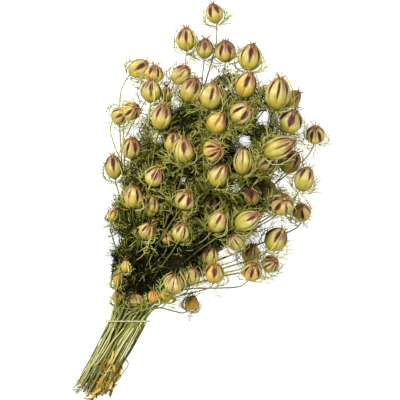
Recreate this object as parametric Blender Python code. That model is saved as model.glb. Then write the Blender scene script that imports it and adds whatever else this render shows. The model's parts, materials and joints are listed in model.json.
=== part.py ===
"""A dried bunch of nigella, also called love-in-a-mist, lying on a table.

Twenty-nine cut stems fan out of one strand that ties them. Each stem has grown as one piece: its side
branches, its lobed seed pods with their beaks, and its thread-like leaves are one solid, and no stem
touches another. The bunch lies along +Y with the cut ends at -Y, and its underside rests on Z = 0.
"""

import bmesh
import bpy
import math
import numpy as np
import random
from mathutils import Matrix

MM = 0.001
SEED = 7

# The tie and the stems that stand in it, in millimetres.
SLOT_PITCH = 4.3
ROW_PITCH = 3.3
ROWS = 4
STEM_RADIUS = 1.3
BRANCH_RADIUS = 0.75
STALK_RADIUS = 0.65
TIE_RADIUS = 0.7
TIE_SLANT = math.tan(math.radians(26))
FIT_GAP = 0.35
STRAIGHT_HALF = 4.5

# The stems' directions are told apart from this far behind the tie.
FAN_BACK = 40.0

# The cut ends, below the tie: they round off, end raggedly, are drawn in to a waist and part again, lean
# to the left, wander a little, and sink towards the table.
TAIL_LENGTH = 80.0
TAIL_ROUNDING = 0.8
TAIL_RAGGED = 6.0
TAIL_SPREAD = 0.98
TAIL_WAIST = 0.16
TAIL_LEAN = -1.5
TAIL_STRAY = 0.5
TAIL_WANDER = 1.0
TAIL_TURN = 2.4
TAIL_SINK = 0.9
TAIL_FLOOR_AIR = 0.1
ROW_SHEAR = (1.6, -1.6, 2.0, -1.4)

# The heap that the heads make on the table: a rim and a dome over an ellipse.
RIM_HEIGHT = 28.0
DOME_HEIGHT = 84.0
DOME_CENTRE = (5.0, 175.0)
DOME_HALF = (118.0, 150.0)
REST_DEPTH = 0.9
TABLE_SIZE = 1000.0

# How far apart things of different stems are kept, and how many rounds of small moves get them there.
AIR = 1.1
SETTLE_ROUNDS = 300
BEND_ROUNDS = 200
LOOK_AGAIN_EVERY = 8
NEAR_ENOUGH = 12.0
EVEN_OUT_UNTIL = 120
EVEN_OUT_SHARE = 0.25
LONGEST_MOVE = 3.0
FLOOR_AIR = 0.3

# A pod nearer the tie than this grows from a stem of the top row.
LOW_POD = 56.0

# How many stretches each line has, how far below its pod a side branch starts, and how strongly a line
# is drawn into its pod's direction.
MAIN_STEPS = 7
TAIL_STEPS = 3
BRANCH_STEPS = 4
BRANCH_SHARE = 0.36
BRANCH_REACH = (12.0, 62.0)
LEADER_PULL = 0.42
BRANCH_PULL = 0.7

# Each stem's pods, its leader first. A pod is: across, along, share of the heap's height (0 lies on the
# table, 1 tops the heap), width, length, heading from +Y towards +X, pitch up from the table.
STEMS = (
    ((-78, 128, 0.45, 17.3, 25.0, -31, 5), (-58, 86, 0.40, 10.6, 14.4, -6, 0),
     (-70, 152, 0.60, 18.7, 25.0, -21, 35)),
    ((-86, 184, 0.60, 19.2, 19.2, 24, 50), (-94, 175, 0.35, 18.2, 19.2, 34, 30)),
    ((-98, 224, 0.50, 18.2, 23.0, 29, 15), (-82, 225, 0.60, 19.2, 19.2, -16, 10),
     (-20, 16, 0.80, 9.6, 15.4, -26, 25)),
    ((-77, 209, 0.80, 21.1, 23.0, -21, 10), (-63, 213, 0.50, 10.6, 16.3, -26, 0),
     (-28, 33, 0.80, 8.6, 17.3, -21, 5)),
    ((-57, 191, 0.80, 20.2, 26.9, -11, 10), (-48, 111, 0.80, 19.2, 24.0, -21, 20),
     (-57, 190, 0.00, 18.4, 23.0, -12, 0)),
    ((-69, 269, 0.60, 20.2, 24.5, -26, 15), (-58, 236, 0.60, 19.2, 24.0, 19, 35),
     (-26, 47, 0.70, 8.6, 12.5, -21, 5)),
    ((-56, 304, 0.50, 17.8, 20.8, -42, 15), (-49, 269, 0.45, 17.8, 21.1, -21, 20),
     (-43, 227, 0.00, 19.0, 23.0, -8, 0)),
    ((-38, 137, 0.90, 20.2, 21.1, -1, 30), (-29, 110, 0.50, 17.3, 23.0, -16, 5)),
    ((-43, 227, 0.75, 21.1, 26.9, -1, 15), (-37, 174, 0.55, 17.3, 23.0, -21, 10),
     (-23, 230, 0.00, 18.0, 22.0, 6, 0)),
    ((-24, 172, 1.00, 21.1, 26.9, -26, 20), (-22, 87, 0.90, 16.3, 17.3, 4, 25)),
    ((-30, 275, 0.60, 21.4, 23.0, -26, 25), (-23, 230, 1.00, 23.0, 26.9, -11, 20)),
    ((-6, 280, 0.80, 24.0, 27.8, -16, 10), (-7, 210, 0.80, 22.1, 25.0, 4, 20),
     (1, 184, 0.00, 18.6, 23.0, -4, 0)),
    ((-2, 130, 1.00, 20.2, 21.1, -1, 35), (-2, 89, 0.60, 11.5, 12.5, -36, 10),
     (-2, 22, 1.00, 13.4, 15.4, -41, 25)),
    ((2, 254, 0.90, 21.1, 27.4, -6, 10), (2, 184, 1.00, 21.6, 22.1, 49, 45)),
    ((10, 228, 1.00, 22.1, 25.0, 24, 35), (16, 165, 0.80, 21.1, 25.9, 4, 10)),
    ((33, 260, 1.00, 25.0, 32.6, -16, 10), (37, 219, 0.20, 19.2, 23.0, -26, 50),
     (33, 259, 0.00, 18.4, 22.0, 10, 0)),
    ((48, 262, 0.50, 16.3, 21.1, 19, 15), (56, 242, 0.70, 23.0, 25.9, -6, 30)),
    ((31, 187, 0.80, 18.7, 26.9, -23, 5), (22, 136, 0.35, 17.3, 19.2, -6, 10)),
    ((8, 100, 0.95, 17.3, 19.2, -6, 20), (11, 33, 1.00, 11.5, 12.5, -26, 20),
     (9, 101, 0.00, 16.6, 20.0, 8, 0)),
    ((57, 214, 1.00, 21.6, 32.6, 40, 5), (35, 125, 0.95, 19.7, 23.0, 4, 20)),
    ((83, 241, 0.40, 19.2, 20.2, -26, 40), (73, 207, 0.45, 21.1, 25.0, 4, 15),
     (58, 213, 0.00, 18.4, 22.0, 14, 0)),
    ((51, 195, 0.60, 19.2, 23.0, 24, 20), (53, 162, 0.35, 19.2, 23.0, -26, 35),
     (60, 138, 0.00, 17.8, 22.0, 12, 0)),
    ((92, 198, 0.60, 20.2, 25.9, -6, 5), (66, 173, 0.15, 17.3, 21.1, -26, 20)),
    ((60, 138, 1.00, 18.7, 26.9, 36, 10), (23, 53, 1.00, 20.2, 20.2, -16, 30)),
    ((84, 167, 0.80, 23.0, 23.0, -11, 60), (43, 92, 0.50, 17.3, 19.2, -16, 10)),
    ((104, 168, 0.45, 18.7, 20.2, -36, 45), (59, 115, 0.80, 17.3, 19.2, -60, 30)),
    ((93, 134, 0.70, 22.6, 25.9, 9, 10), (77, 111, 0.30, 18.2, 21.1, -11, 25),
     (22, 40, 0.80, 12.5, 13.4, -26, 5)),
    ((99, 110, 0.35, 18.2, 19.2, 34, 50), (86, 96, 0.80, 19.7, 21.1, -11, 40)),
    ((54, 79, 0.90, 19.2, 21.1, -21, 25), (36, 67, 0.80, 16.3, 17.3, -16, 15),
     (47, 43, 0.40, 13.9, 15.4, -6, 10)),
)

# A pod's lobes, taken in turn; the rings of its outline as shares of its length and radius; how deep the
# grooves between lobes are; and the beaks that the lobes are drawn out into.
LOBES = (5, 6, 6, 5, 7)
POD_RINGS = ((0.03, 0.34), (0.30, 0.96), (0.64, 1.0), (0.92, 0.44))
GROOVE = 0.85
BEAK_RISE = 6.5
BEAK_SPREAD = 0.62
CROWN_RISE = 0.93
CROWN_WIDTH = 0.56
POD_SINK = 1.2
CORE_SPARE = 0.5
CROWN_SHARE = 0.6

# Threads: the bracts round each pod, the leaves along each stem, and dead leaves at the cut ends.
BRACTS = 2
LEAVES = 2
DEAD_SIDE = 4.0
THREAD_RADIUS = 0.5
THREAD_ROOT = 1.2
THREAD_AIR = 0.45
THREAD_TRIES = 14

# A bract: how far below the pod it starts, how far it bulges out, and how far up and out its tip goes.
BRACT_TURN = 0.9
BRACT_DROP = (2.5, 4.0)
BRACT_BULGE = 2.5
BRACT_BELLY = (0.15, 0.25)
BRACT_RISE = (0.7, 1.0)
BRACT_SPREAD = (1.5, 6.0)

# A leaf: its length, how that varies, and how far its two halves go onward, outward and aside.
LEAF_LENGTH = 21.0
DEAD_LENGTH = 12.0
LEAF_SIZES = (0.8, 1.25)
LEAF_ONWARD = (0.45, 0.35)
LEAF_OUT = (0.35, 0.25)
LEAF_ASIDE = 0.25

STEM_SIDES = 4
BRANCH_SIDES = 3
THREAD_SIDES = 3
TIE_SIDES = 6
TIE_STEPS = 3

# The knot stands at the left of the strand, halfway up. Each of its short ends passes two places.
KNOT_SIDES = 8
KNOT_RINGS = 5
KNOT_OUT = 0.4
KNOT_HALF = (1.1, 1.8, 1.5)
STRAND_ROOT = (-0.4, 0.4, 0.3)
STRAND_BEND = (-2.4, 3.0, 1.2)
STRAND_TIP = (-3.0, 7.5, 0.8)


def pod_axis(heading, pitch):
    """The unit vector from a pod's base to its beaks."""
    turn, lift = math.radians(heading), math.radians(pitch)
    return np.array((math.sin(turn) * math.cos(lift), math.cos(turn) * math.cos(lift), math.sin(lift)))


def heap_height(x, y):
    """How high the heap of heads stands above the table at a place."""
    inside = 1 - ((x - DOME_CENTRE[0]) / DOME_HALF[0]) ** 2 - ((y - DOME_CENTRE[1]) / DOME_HALF[1]) ** 2
    return RIM_HEIGHT + DOME_HEIGHT * math.sqrt(max(inside, 0.0))


class Pod:
    """One seed pod: where it is, which way it points, and how large it is."""

    def __init__(self, stem, row, number):
        across, along, share, width, length, heading, pitch = row
        self.stem = stem
        self.number = number
        self.radius = width / 2
        self.length = length
        self.axis = pod_axis(heading, pitch)
        self.lobes = LOBES[number % len(LOBES)]
        flat, tall = self.radius * math.cos(math.radians(pitch)), length / 2 * self.axis[2]
        self.lowest = math.hypot(flat, tall) - (REST_DEPTH if share == 0 else 0)
        self.rests = share == 0
        room = max(heap_height(across, along) - 2 * self.lowest, 0)
        self.centre = np.array((across, along, self.lowest + share * room))

    @property
    def base(self):
        return self.centre - self.axis * self.length / 2

    @property
    def top(self):
        return self.centre + self.axis * self.length / 2

    def core(self):
        """The ends of the line that the pod's roundness is measured from."""
        half = max(self.length / 2 - self.radius, 0) + CORE_SPARE
        return self.centre - self.axis * half, self.centre + self.axis * half

    def crown(self):
        """The ends of the line up through the beaks."""
        return self.top - self.axis, self.top + self.axis * BEAK_RISE * CROWN_SHARE


def nearest(p0, p1, q0, q1):
    """Where pairs of segments come nearest: the share along each, and the vector from q to p there."""
    u, v, w = p1 - p0, q1 - q0, p0 - q0
    a, b, c = (u * u).sum(1), (u * v).sum(1), (v * v).sum(1)
    d, e = (u * w).sum(1), (v * w).sum(1)
    span = a * c - b * b
    s = np.where(span > 1e-9, (b * e - c * d) / np.maximum(span, 1e-9), 0.5).clip(0, 1)
    t = ((b * s + e) / np.maximum(c, 1e-9)).clip(0, 1)
    s = ((b * t - d) / np.maximum(a, 1e-9)).clip(0, 1)
    return s, t, w + s[:, None] * u - t[:, None] * v


def settle(pods):
    """Lifts and lowers the pods until no two of them overlap. Their places seen from above stay."""
    both = pods + pods
    first, second = np.triu_indices(len(both), 1)
    apart = second != first + len(pods)
    first, second = first[apart], second[apart]
    radii = np.array([pod.radius for pod in pods] + [pod.radius * CROWN_WIDTH for pod in pods])
    for _ in range(SETTLE_ROUNDS):
        ends = [pod.core() for pod in pods] + [pod.crown() for pod in pods]
        low, high = (np.array(side) for side in zip(*ends))
        _, _, between = nearest(low[first], high[first], low[second], high[second])
        bite = radii[first] + radii[second] + AIR - np.linalg.norm(between, axis=1)
        hits = np.flatnonzero(bite > 0)
        if not len(hits):
            break
        for k in hits:
            a, b = both[first[k]], both[second[k]]
            upper, lower = (a, b) if a.centre[2] >= b.centre[2] else (b, a)
            step = min(bite[k], LONGEST_MOVE) / 2
            upper.centre[2] += step
            if not lower.rests:
                lower.centre[2] = max(lower.centre[2] - step, lower.lowest)


def slots(stem_pods):
    """Where each stem stands in the tie, so that stems which part to a side or upwards start there."""
    sides = [np.mean([math.atan2(p.centre[0], p.centre[1] + FAN_BACK) for p in pods]) for pods in stem_pods]
    heights = [np.mean([p.centre[2] for p in pods]) for pods in stem_pods]
    for stem, pods in enumerate(stem_pods):
        if min(p.centre[1] for p in pods) < LOW_POD:
            heights[stem] += 2 * DOME_HEIGHT
    order = sorted(range(len(stem_pods)), key=lambda i: sides[i])
    columns = math.ceil(len(order) / ROWS)
    lowest = 2 * TIE_RADIUS + FIT_GAP + STEM_RADIUS
    places = {}
    for column in range(columns):
        group = sorted(order[column * ROWS:(column + 1) * ROWS], key=lambda i: heights[i])
        for row, stem in enumerate(group):
            stagger = (row % 2 - 0.5) * SLOT_PITCH / 2
            x = (column - (columns - 1) / 2) * SLOT_PITCH + stagger
            places[stem] = (x, lowest + row * ROW_PITCH, row)
    return places


def swept(start, start_pull, end, end_pull, steps):
    """Points along a smooth curve that leaves start along start_pull and reaches end along end_pull."""
    found = []
    for t in np.linspace(0, 1, steps + 1):
        a, b = 2 * t**3 - 3 * t**2 + 1, t**3 - 2 * t**2 + t
        c, d = -2 * t**3 + 3 * t**2, t**3 - t**2
        found.append(a * start + b * start_pull + c * end + d * end_pull)
    return found


class Web:
    """Every stem's and branch's line as points that share ends where one grows from another."""

    def __init__(self):
        self.points, self.radii, self.fixed = [], [], []
        self.links, self.owners, self.ends_at = [], [], []
        self.lines = []

    def add_point(self, place, radius, fixed=False):
        self.points.append(np.array(place, float))
        self.radii.append(radius)
        self.fixed.append(fixed)
        return len(self.points) - 1

    def add_line(self, ids, stem, pod):
        self.lines.append((ids, stem, pod))
        for a, b in zip(ids, ids[1:]):
            self.links.append((a, b))
            self.owners.append(stem)
            self.ends_at.append(pod.number if b == ids[-1] else -1)


def grow_main(web, stem, slot, leader, dice):
    """The stem from its cut end through the tie to its leader's base. Returns the ids of its points."""
    x, z, row = slot
    tail = -TAIL_LENGTH + TAIL_ROUNDING * abs(x) + dice.uniform(-TAIL_RAGGED, TAIL_RAGGED)
    end_x = x * TAIL_SPREAD + TAIL_LEAN + ROW_SHEAR[row] + dice.uniform(-TAIL_STRAY, TAIL_STRAY)
    end_z = max(z - TAIL_SINK * row, STEM_RADIUS + TAIL_FLOOR_AIR)
    held = x * TIE_SLANT
    ids = []
    for k in range(TAIL_STEPS):
        share = 1 - k / TAIL_STEPS
        drawn_in = 4 * TAIL_WAIST * share * (1 - share) * x
        wander = TAIL_WANDER * math.sin(TAIL_TURN * stem + k)
        at = x + (end_x - x) * share - drawn_in + wander
        place = (at, held + (tail - held) * share, z + (end_z - z) * share)
        ids.append(web.add_point(place, STEM_RADIUS))
    ids += [web.add_point((x, held + y, z), STEM_RADIUS, True) for y in (-STRAIGHT_HALF, 0, STRAIGHT_HALF)]
    start = np.array((x, held + STRAIGHT_HALF, z))
    reach = np.linalg.norm(leader.base - start)
    arrival = leader.axis * reach * LEADER_PULL
    line = swept(start, np.array((0, 1, 0)) * reach, leader.base, arrival, MAIN_STEPS)
    for k, place in enumerate(line[1:], 1):
        share = k / MAIN_STEPS
        radius = STEM_RADIUS + (STALK_RADIUS - STEM_RADIUS) * share
        ids.append(web.add_point(place, radius, k == MAIN_STEPS))
    web.add_line(ids, stem, leader)
    return ids


def grow_branch(web, stem, main, pod):
    """A side branch, from a point of the stem well below the pod, to the pod's base."""
    usable = main[TAIL_STEPS + 2:-1]
    away = np.linalg.norm(pod.base - web.points[usable[0]])
    reach = min(max(BRANCH_SHARE * away, BRANCH_REACH[0]), BRANCH_REACH[1])
    wanted = pod.base[1] - reach
    root = min(usable, key=lambda i: abs(web.points[i][1] - wanted))
    start = web.points[root]
    after = web.points[main[main.index(root) + 1]]
    along = (after - start) / np.linalg.norm(after - start)
    pull = BRANCH_PULL * np.linalg.norm(pod.base - start)
    line = swept(start, along * pull, pod.base, pod.axis * pull, BRANCH_STEPS)
    ids = [root]
    for k, place in enumerate(line[1:], 1):
        radius = BRANCH_RADIUS + (STALK_RADIUS - BRANCH_RADIUS) * k / BRANCH_STEPS
        ids.append(web.add_point(place, radius, k == BRANCH_STEPS))
    web.add_line(ids, stem, pod)


def bend_clear(web, pods):
    """Bends every line round the other stems' lines and pods, and keeps it above the table."""
    ends = [pod.core() for pod in pods] + [pod.crown() for pod in pods]
    sizes = [pod.radius for pod in pods] + [pod.radius * CROWN_WIDTH for pod in pods]
    count = len(web.points)
    points = np.array(web.points + [place for pair in ends for place in pair])
    radii = np.array(web.radii)
    free = ~np.array(web.fixed + [True] * (2 * len(ends)))
    links = np.array(web.links + [(count + 2 * k, count + 2 * k + 1) for k in range(len(ends))])
    lines = len(web.links)
    thick = np.concatenate([radii[links[:lines]].max(1), sizes])
    owners = np.array(web.owners + [pod.stem for pod in pods] * 2)
    goal = np.array(web.ends_at + [pod.number for pod in pods] * 2)
    first, second = np.triu_indices(len(links), 1)
    is_line = first < lines
    other_stem = owners[first] != owners[second]
    other_pod = (second >= lines) & (goal[first] != goal[second])
    first, second = (ids[is_line & (other_stem | other_pod)] for ids in (first, second))
    rest = points.copy()
    for round_number in range(BEND_ROUNDS):
        p0, p1 = points[links[first, 0]], points[links[first, 1]]
        q0, q1 = points[links[second, 0]], points[links[second, 1]]
        if round_number % LOOK_AGAIN_EVERY == 0:
            reach = (np.linalg.norm(p1 - p0, axis=1) + np.linalg.norm(q1 - q0, axis=1)) / 2
            middle = np.linalg.norm(p0 + p1 - q0 - q1, axis=1) / 2
            room = thick[first] + thick[second] + AIR + NEAR_ENOUGH
            near = np.flatnonzero(middle < reach + room)
        a, b = first[near], second[near]
        s, t, gap = nearest(p0[near], p1[near], q0[near], q1[near])
        distance = np.maximum(np.linalg.norm(gap, axis=1), 1e-6)
        bite = thick[a] + thick[b] + AIR - distance
        hit = bite > 0
        a, b, s, t = a[hit], b[hit], s[hit], t[hit]
        push = gap[hit] / distance[hit, None] * np.minimum(bite[hit], LONGEST_MOVE)[:, None] / 2
        move = np.zeros_like(points)
        for ids, share, sign in ((a, s, 1), (b, t, -1)):
            np.add.at(move, links[ids, 0], sign * push * (1 - share)[:, None])
            np.add.at(move, links[ids, 1], sign * push * share[:, None])
        length = np.linalg.norm(move, axis=1, keepdims=True)
        move *= np.minimum(1, LONGEST_MOVE / np.maximum(length, 1e-9))
        points[free] += move[free]
        if round_number < EVEN_OUT_UNTIL:
            shift = points - rest
            for ids, _, _ in web.lines:
                inner = ids[1:-1]
                even = (shift[ids[:-2]] + shift[ids[2:]]) / 2
                points[inner] += np.where(free[inner, None], EVEN_OUT_SHARE * (even - shift[inner]), 0)
        floor = radii + FLOOR_AIR
        low = free[:count] & (points[:count, 2] < floor)
        points[:count][low, 2] = floor[low]
    web.points = list(points[:count])


def lofted(rings, tip=None):
    """A closed mesh through rings of points, capped flat at the start and capped or pointed at the end."""
    mesh = bmesh.new()
    loops = [[mesh.verts.new(place) for place in ring] for ring in rings]
    sides = len(loops[0])
    for low, high in zip(loops, loops[1:]):
        for k in range(sides):
            n = (k + 1) % sides
            mesh.faces.new((low[k], low[n], high[n], high[k]))
    mesh.faces.new(reversed(loops[0]))
    if tip is None:
        mesh.faces.new(loops[-1])
    else:
        point = mesh.verts.new(tip)
        for k in range(sides):
            mesh.faces.new((loops[-1][k], loops[-1][(k + 1) % sides], point))
    bmesh.ops.triangulate(mesh, faces=mesh.faces)
    return mesh


def frames(points):
    """Two directions across a line at each of its points, turning with it and never twisting."""
    points = np.array(points)
    ways = np.gradient(points, axis=0)
    ways /= np.linalg.norm(ways, axis=1, keepdims=True)
    side = np.cross(ways[0], (0.0, 0.0, 1.0))
    if np.linalg.norm(side) < 0.1:
        side = np.cross(ways[0], (1.0, 0.0, 0.0))
    for way in ways:
        side = side - way * (side @ way)
        side /= np.linalg.norm(side)
        yield side, np.cross(way, side)


def tube_rings(points, radii, sides):
    """A ring of points round each point of a line."""
    for place, radius, (side, over) in zip(points, radii, frames(points)):
        turns = [math.tau * k / sides for k in range(sides)]
        yield [place + radius * (math.cos(t) * side + math.sin(t) * over) for t in turns]


def thread_mesh(points):
    """A slim three-sided thread, thicker at its root and pointed at its tip."""
    radii = [THREAD_RADIUS * THREAD_ROOT, THREAD_RADIUS, THREAD_RADIUS]
    *rings, _ = tube_rings(points, radii, THREAD_SIDES)
    return lofted(rings, points[-1])


def pod_mesh(pod):
    """The lobed pod. The grooves between its lobes are sunk, and a beak is drawn out of each lobe's top."""
    z = pod.axis
    x = np.cross((0.0, 0.0, 1.0), z) if abs(z[2]) < 0.9 else np.array((1.0, 0.0, 0.0))
    x /= np.linalg.norm(x)
    y = np.cross(z, x)

    def placed(turn, reach, rise):
        return pod.base + (math.cos(turn) * x + math.sin(turn) * y) * reach + z * rise

    sides = 2 * pod.lobes
    turns = [math.tau * (k / sides - 0.25) for k in range(sides)]
    mesh = bmesh.new()
    loops = []
    for rise, width in POD_RINGS:
        ring = []
        for k, turn in enumerate(turns):
            reach = pod.radius * width * (1 if k % 2 == 0 else GROOVE)
            ring.append(mesh.verts.new(placed(turn, reach, rise * pod.length)))
        loops.append(ring)
    crown = mesh.verts.new(placed(0, 0, CROWN_RISE * pod.length))
    for k in range(sides):
        n = (k + 1) % sides
        for low, high in zip(loops, loops[1:]):
            mesh.faces.new((low[k], low[n], high[n], high[k]))
    top = loops[-1]
    for k in range(0, sides, 2):
        tip = placed(turns[k], pod.radius * BEAK_SPREAD, pod.length + BEAK_RISE)
        beak = mesh.verts.new(tip)
        around = [crown, top[k - 1], top[k], top[(k + 1) % sides]]
        for a, b in zip(around, around[1:] + around[:1]):
            mesh.faces.new((a, b, beak))
    bmesh.ops.triangulate(mesh, faces=mesh.faces)
    mesh.faces.new(reversed(loops[0]))
    return mesh


class Threads:
    """Hands out the lines of thread-like bracts and leaves, each bent clear of every other stem."""

    def __init__(self, web, pods, strand, dice):
        self.dice = dice
        self.low, self.high, self.sizes, self.owners = [], [], [], []
        for a, b in zip(strand, strand[1:] + strand[:1]):
            self.block(a, b, TIE_RADIUS + FIT_GAP, -1)
        for (a, b), owner in zip(web.links, web.owners):
            self.block(web.points[a], web.points[b], max(web.radii[a], web.radii[b]), owner)
        for pod in pods:
            self.block(*pod.core(), pod.radius, pod.stem)
            self.block(pod.top - pod.axis, pod.top + pod.axis * BEAK_RISE, pod.radius * BEAK_SPREAD, pod.stem)

    def block(self, start, end, size, owner):
        """Takes up the room round a line."""
        self.low.append(start)
        self.high.append(end)
        self.sizes.append(size)
        self.owners.append(owner)

    def is_clear(self, points, stem):
        """Whether a thread along the points touches neither the table nor anything of another stem."""
        if min(place[2] for place in points) < THREAD_RADIUS + FLOOR_AIR:
            return False
        others = np.array(self.owners) != stem
        low, high = np.array(self.low)[others], np.array(self.high)[others]
        sizes = np.array(self.sizes)[others]
        for a, b in zip(points, points[1:]):
            start, end = np.broadcast_to(a, low.shape), np.broadcast_to(b, low.shape)
            _, _, gap = nearest(start, end, low, high)
            if (np.linalg.norm(gap, axis=1) < sizes + THREAD_RADIUS * THREAD_ROOT + THREAD_AIR).any():
                return False
        return True

    def place(self, draw, stem):
        """The first of a few draws that is clear of the other stems, or None."""
        for _ in range(THREAD_TRIES):
            points = draw(self.dice)
            if self.is_clear(points, stem):
                for a, b in zip(points, points[1:]):
                    self.block(a, b, THREAD_RADIUS * THREAD_ROOT, stem)
                return points
        return None


def across(way, turn):
    """The unit vector square to a way, turned about it."""
    side = np.cross(way, (0.0, 0.0, 1.0))
    side = side / np.linalg.norm(side) if np.linalg.norm(side) > 0.1 else np.array((1.0, 0.0, 0.0))
    return math.cos(turn) * side + math.sin(turn) * np.cross(way, side)


def bract(pod, k):
    """A thread that springs from under the pod and curls up round it."""
    def draw(dice):
        out = across(pod.axis, math.tau * (k + dice.uniform(0, BRACT_TURN)) / BRACTS)
        start = pod.base - pod.axis * dice.uniform(*BRACT_DROP)
        belly = pod.axis * pod.length * dice.uniform(*BRACT_BELLY)
        middle = start + out * (pod.radius + BRACT_BULGE) + belly
        rise = pod.axis * pod.length * dice.uniform(*BRACT_RISE)
        return [start, middle, start + out * (pod.radius + dice.uniform(*BRACT_SPREAD)) + rise]
    return draw


def leaf(start, end, size):
    """A thread of a divided leaf, from somewhere between two points of a stem, leaning onward and out."""
    def draw(dice):
        way = (end - start) / np.linalg.norm(end - start)
        root = start + (end - start) * dice.random()
        out, bend = across(way, dice.uniform(0, math.tau)), across(way, dice.uniform(0, math.tau))
        reach = size * dice.uniform(*LEAF_SIZES)
        halves = [way * on + out * off for on, off in zip(LEAF_ONWARD, LEAF_OUT)]
        middle = root + halves[0] * reach
        return [root, middle, middle + (halves[1] + bend * LEAF_ASIDE) * reach]
    return draw


def plain_material(name, colour, roughness):
    material = bpy.data.materials.new(name)
    material.use_nodes = True
    shader = material.node_tree.nodes["Principled BSDF"]
    shader.inputs["Base Color"].default_value = (*colour, 1)
    shader.inputs["Roughness"].default_value = roughness
    return material


def new_object(name, mesh, material):
    """An object from a bmesh in millimetres."""
    for vert in mesh.verts:
        vert.co *= MM
    bmesh.ops.recalc_face_normals(mesh, faces=mesh.faces)
    data = bpy.data.meshes.new(name)
    mesh.to_mesh(data)
    mesh.free()
    data.materials.append(material)
    obj = bpy.data.objects.new(name, data)
    bpy.context.scene.collection.objects.link(obj)
    return obj


def apply_modifier(obj):
    """Makes the result of obj's modifier its own mesh."""
    graph = bpy.context.evaluated_depsgraph_get()
    data = bpy.data.meshes.new_from_object(obj.evaluated_get(graph))
    obj.modifiers.clear()
    obj.data = data


def fuse(obj, others):
    """Joins the others to obj as one solid, and removes them."""
    group = bpy.data.collections.new(obj.name + "_pieces")
    bpy.context.scene.collection.children.link(group)
    for other in others:
        bpy.context.scene.collection.objects.unlink(other)
        group.objects.link(other)
    union = obj.modifiers.new("union", "BOOLEAN")
    union.operation = "UNION"
    union.operand_type = "COLLECTION"
    union.collection = group
    apply_modifier(obj)
    for other in others:
        bpy.data.objects.remove(other)
    bpy.data.collections.remove(group)
    keep_outside(obj)


def keep_outside(obj):
    """Drops the tiny closed pockets that can be left inside a join."""
    mesh = bmesh.new()
    mesh.from_mesh(obj.data)
    left, shells = set(mesh.faces), []
    while left:
        shell, edge = set(), [left.pop()]
        while edge:
            face = edge.pop()
            shell.add(face)
            for loop in face.loops:
                near = loop.link_loop_radial_next.face
                if near in left:
                    left.remove(near)
                    edge.append(near)
        shells.append(shell)
    shells.sort(key=len)
    for shell in shells[:-1]:
        bmesh.ops.delete(mesh, geom=list(shell), context="FACES")
    mesh.to_mesh(obj.data)
    mesh.free()


def press_flat(obj, table):
    """Cuts off what would reach below the table, so that the pods that bear weight have flat spots."""
    cut = obj.modifiers.new("cut", "BOOLEAN")
    cut.operation = "DIFFERENCE"
    cut.object = table
    apply_modifier(obj)


def make_table(material):
    """A block whose top is the table."""
    mesh = bmesh.new()
    bmesh.ops.create_cube(mesh, size=TABLE_SIZE)
    bmesh.ops.translate(mesh, vec=(0, 0, -TABLE_SIZE / 2), verts=mesh.verts)
    table = new_object("table", mesh, material)
    table.hide_render = True
    table.display_type = "WIRE"
    return table


def tie_line(places):
    """The middle of the strand round all the stems. It is aslant, and flat along its underside."""
    gap = STEM_RADIUS + FIT_GAP + TIE_RADIUS
    half = max(abs(x) for x, _, _ in places.values())
    low = min(z for _, z, _ in places.values())
    high = max(z for _, z, _ in places.values())
    line = []
    for x, z, start in ((half, low, -90), (half, high, 0), (-half, high, 90), (-half, low, 180)):
        for k in range(TIE_STEPS + 1):
            turn = math.radians(start + 90 * k / TIE_STEPS)
            at = x + gap * math.cos(turn)
            line.append(np.array((at, at * TIE_SLANT, z + gap * math.sin(turn))))
    return line


def tie_mesh(line):
    """The strand as a closed ring. Two of its sides lie level, so it rests flat."""
    mesh = bmesh.new()
    loops = []
    size = TIE_RADIUS / math.cos(math.pi / TIE_SIDES)
    for k, place in enumerate(line):
        corner, step = divmod(k, TIE_STEPS + 1)
        turn = math.radians(-90 + 90 * corner + 90 * step / TIE_STEPS)
        out, along = np.array((math.cos(turn), 0, math.sin(turn))), np.array((0, 1, 0))
        turns = [math.tau * (n + 0.5) / TIE_SIDES for n in range(TIE_SIDES)]
        ring = [place + size * (math.cos(t) * out + math.sin(t) * along) for t in turns]
        loops.append([mesh.verts.new(corner) for corner in ring])
    for ring, after in zip(loops, loops[1:] + loops[:1]):
        for n in range(TIE_SIDES):
            m = (n + 1) % TIE_SIDES
            mesh.faces.new((ring[n], after[n], after[m], ring[m]))
    bmesh.ops.triangulate(mesh, faces=mesh.faces)
    return mesh


def knot_meshes(line):
    """A small lump on the left of the strand, and the strand's two short ends."""
    centre = sum(sorted(line, key=lambda place: place[0])[:2]) / 2
    mesh = bmesh.new()
    bmesh.ops.create_uvsphere(mesh, u_segments=KNOT_SIDES, v_segments=KNOT_RINGS, radius=1.0)
    bmesh.ops.scale(mesh, vec=KNOT_HALF, verts=mesh.verts)
    bmesh.ops.translate(mesh, vec=centre - (KNOT_OUT, 0, 0), verts=mesh.verts)
    yield mesh
    for way in (1, -1):
        start = centre + np.array(STRAND_ROOT) * (1, way, way)
        steps = [np.array(step) * (1, way, way) for step in (STRAND_BEND, STRAND_TIP)]
        yield thread_mesh([start, *(start + step for step in steps)])


def line_meshes(web, stem, main):
    """The tubes of a stem and of its side branches."""
    for ids, owner, pod in web.lines:
        if owner != stem:
            continue
        points = [web.points[i] for i in ids[:-1]] + [pod.base + pod.axis * POD_SINK]
        radii = [web.radii[i] for i in ids]
        sides = STEM_SIDES
        if ids is not main:
            radii[0] = BRANCH_RADIUS
            sides = BRANCH_SIDES
        yield lofted(list(tube_rings(points, radii, sides)))


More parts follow.
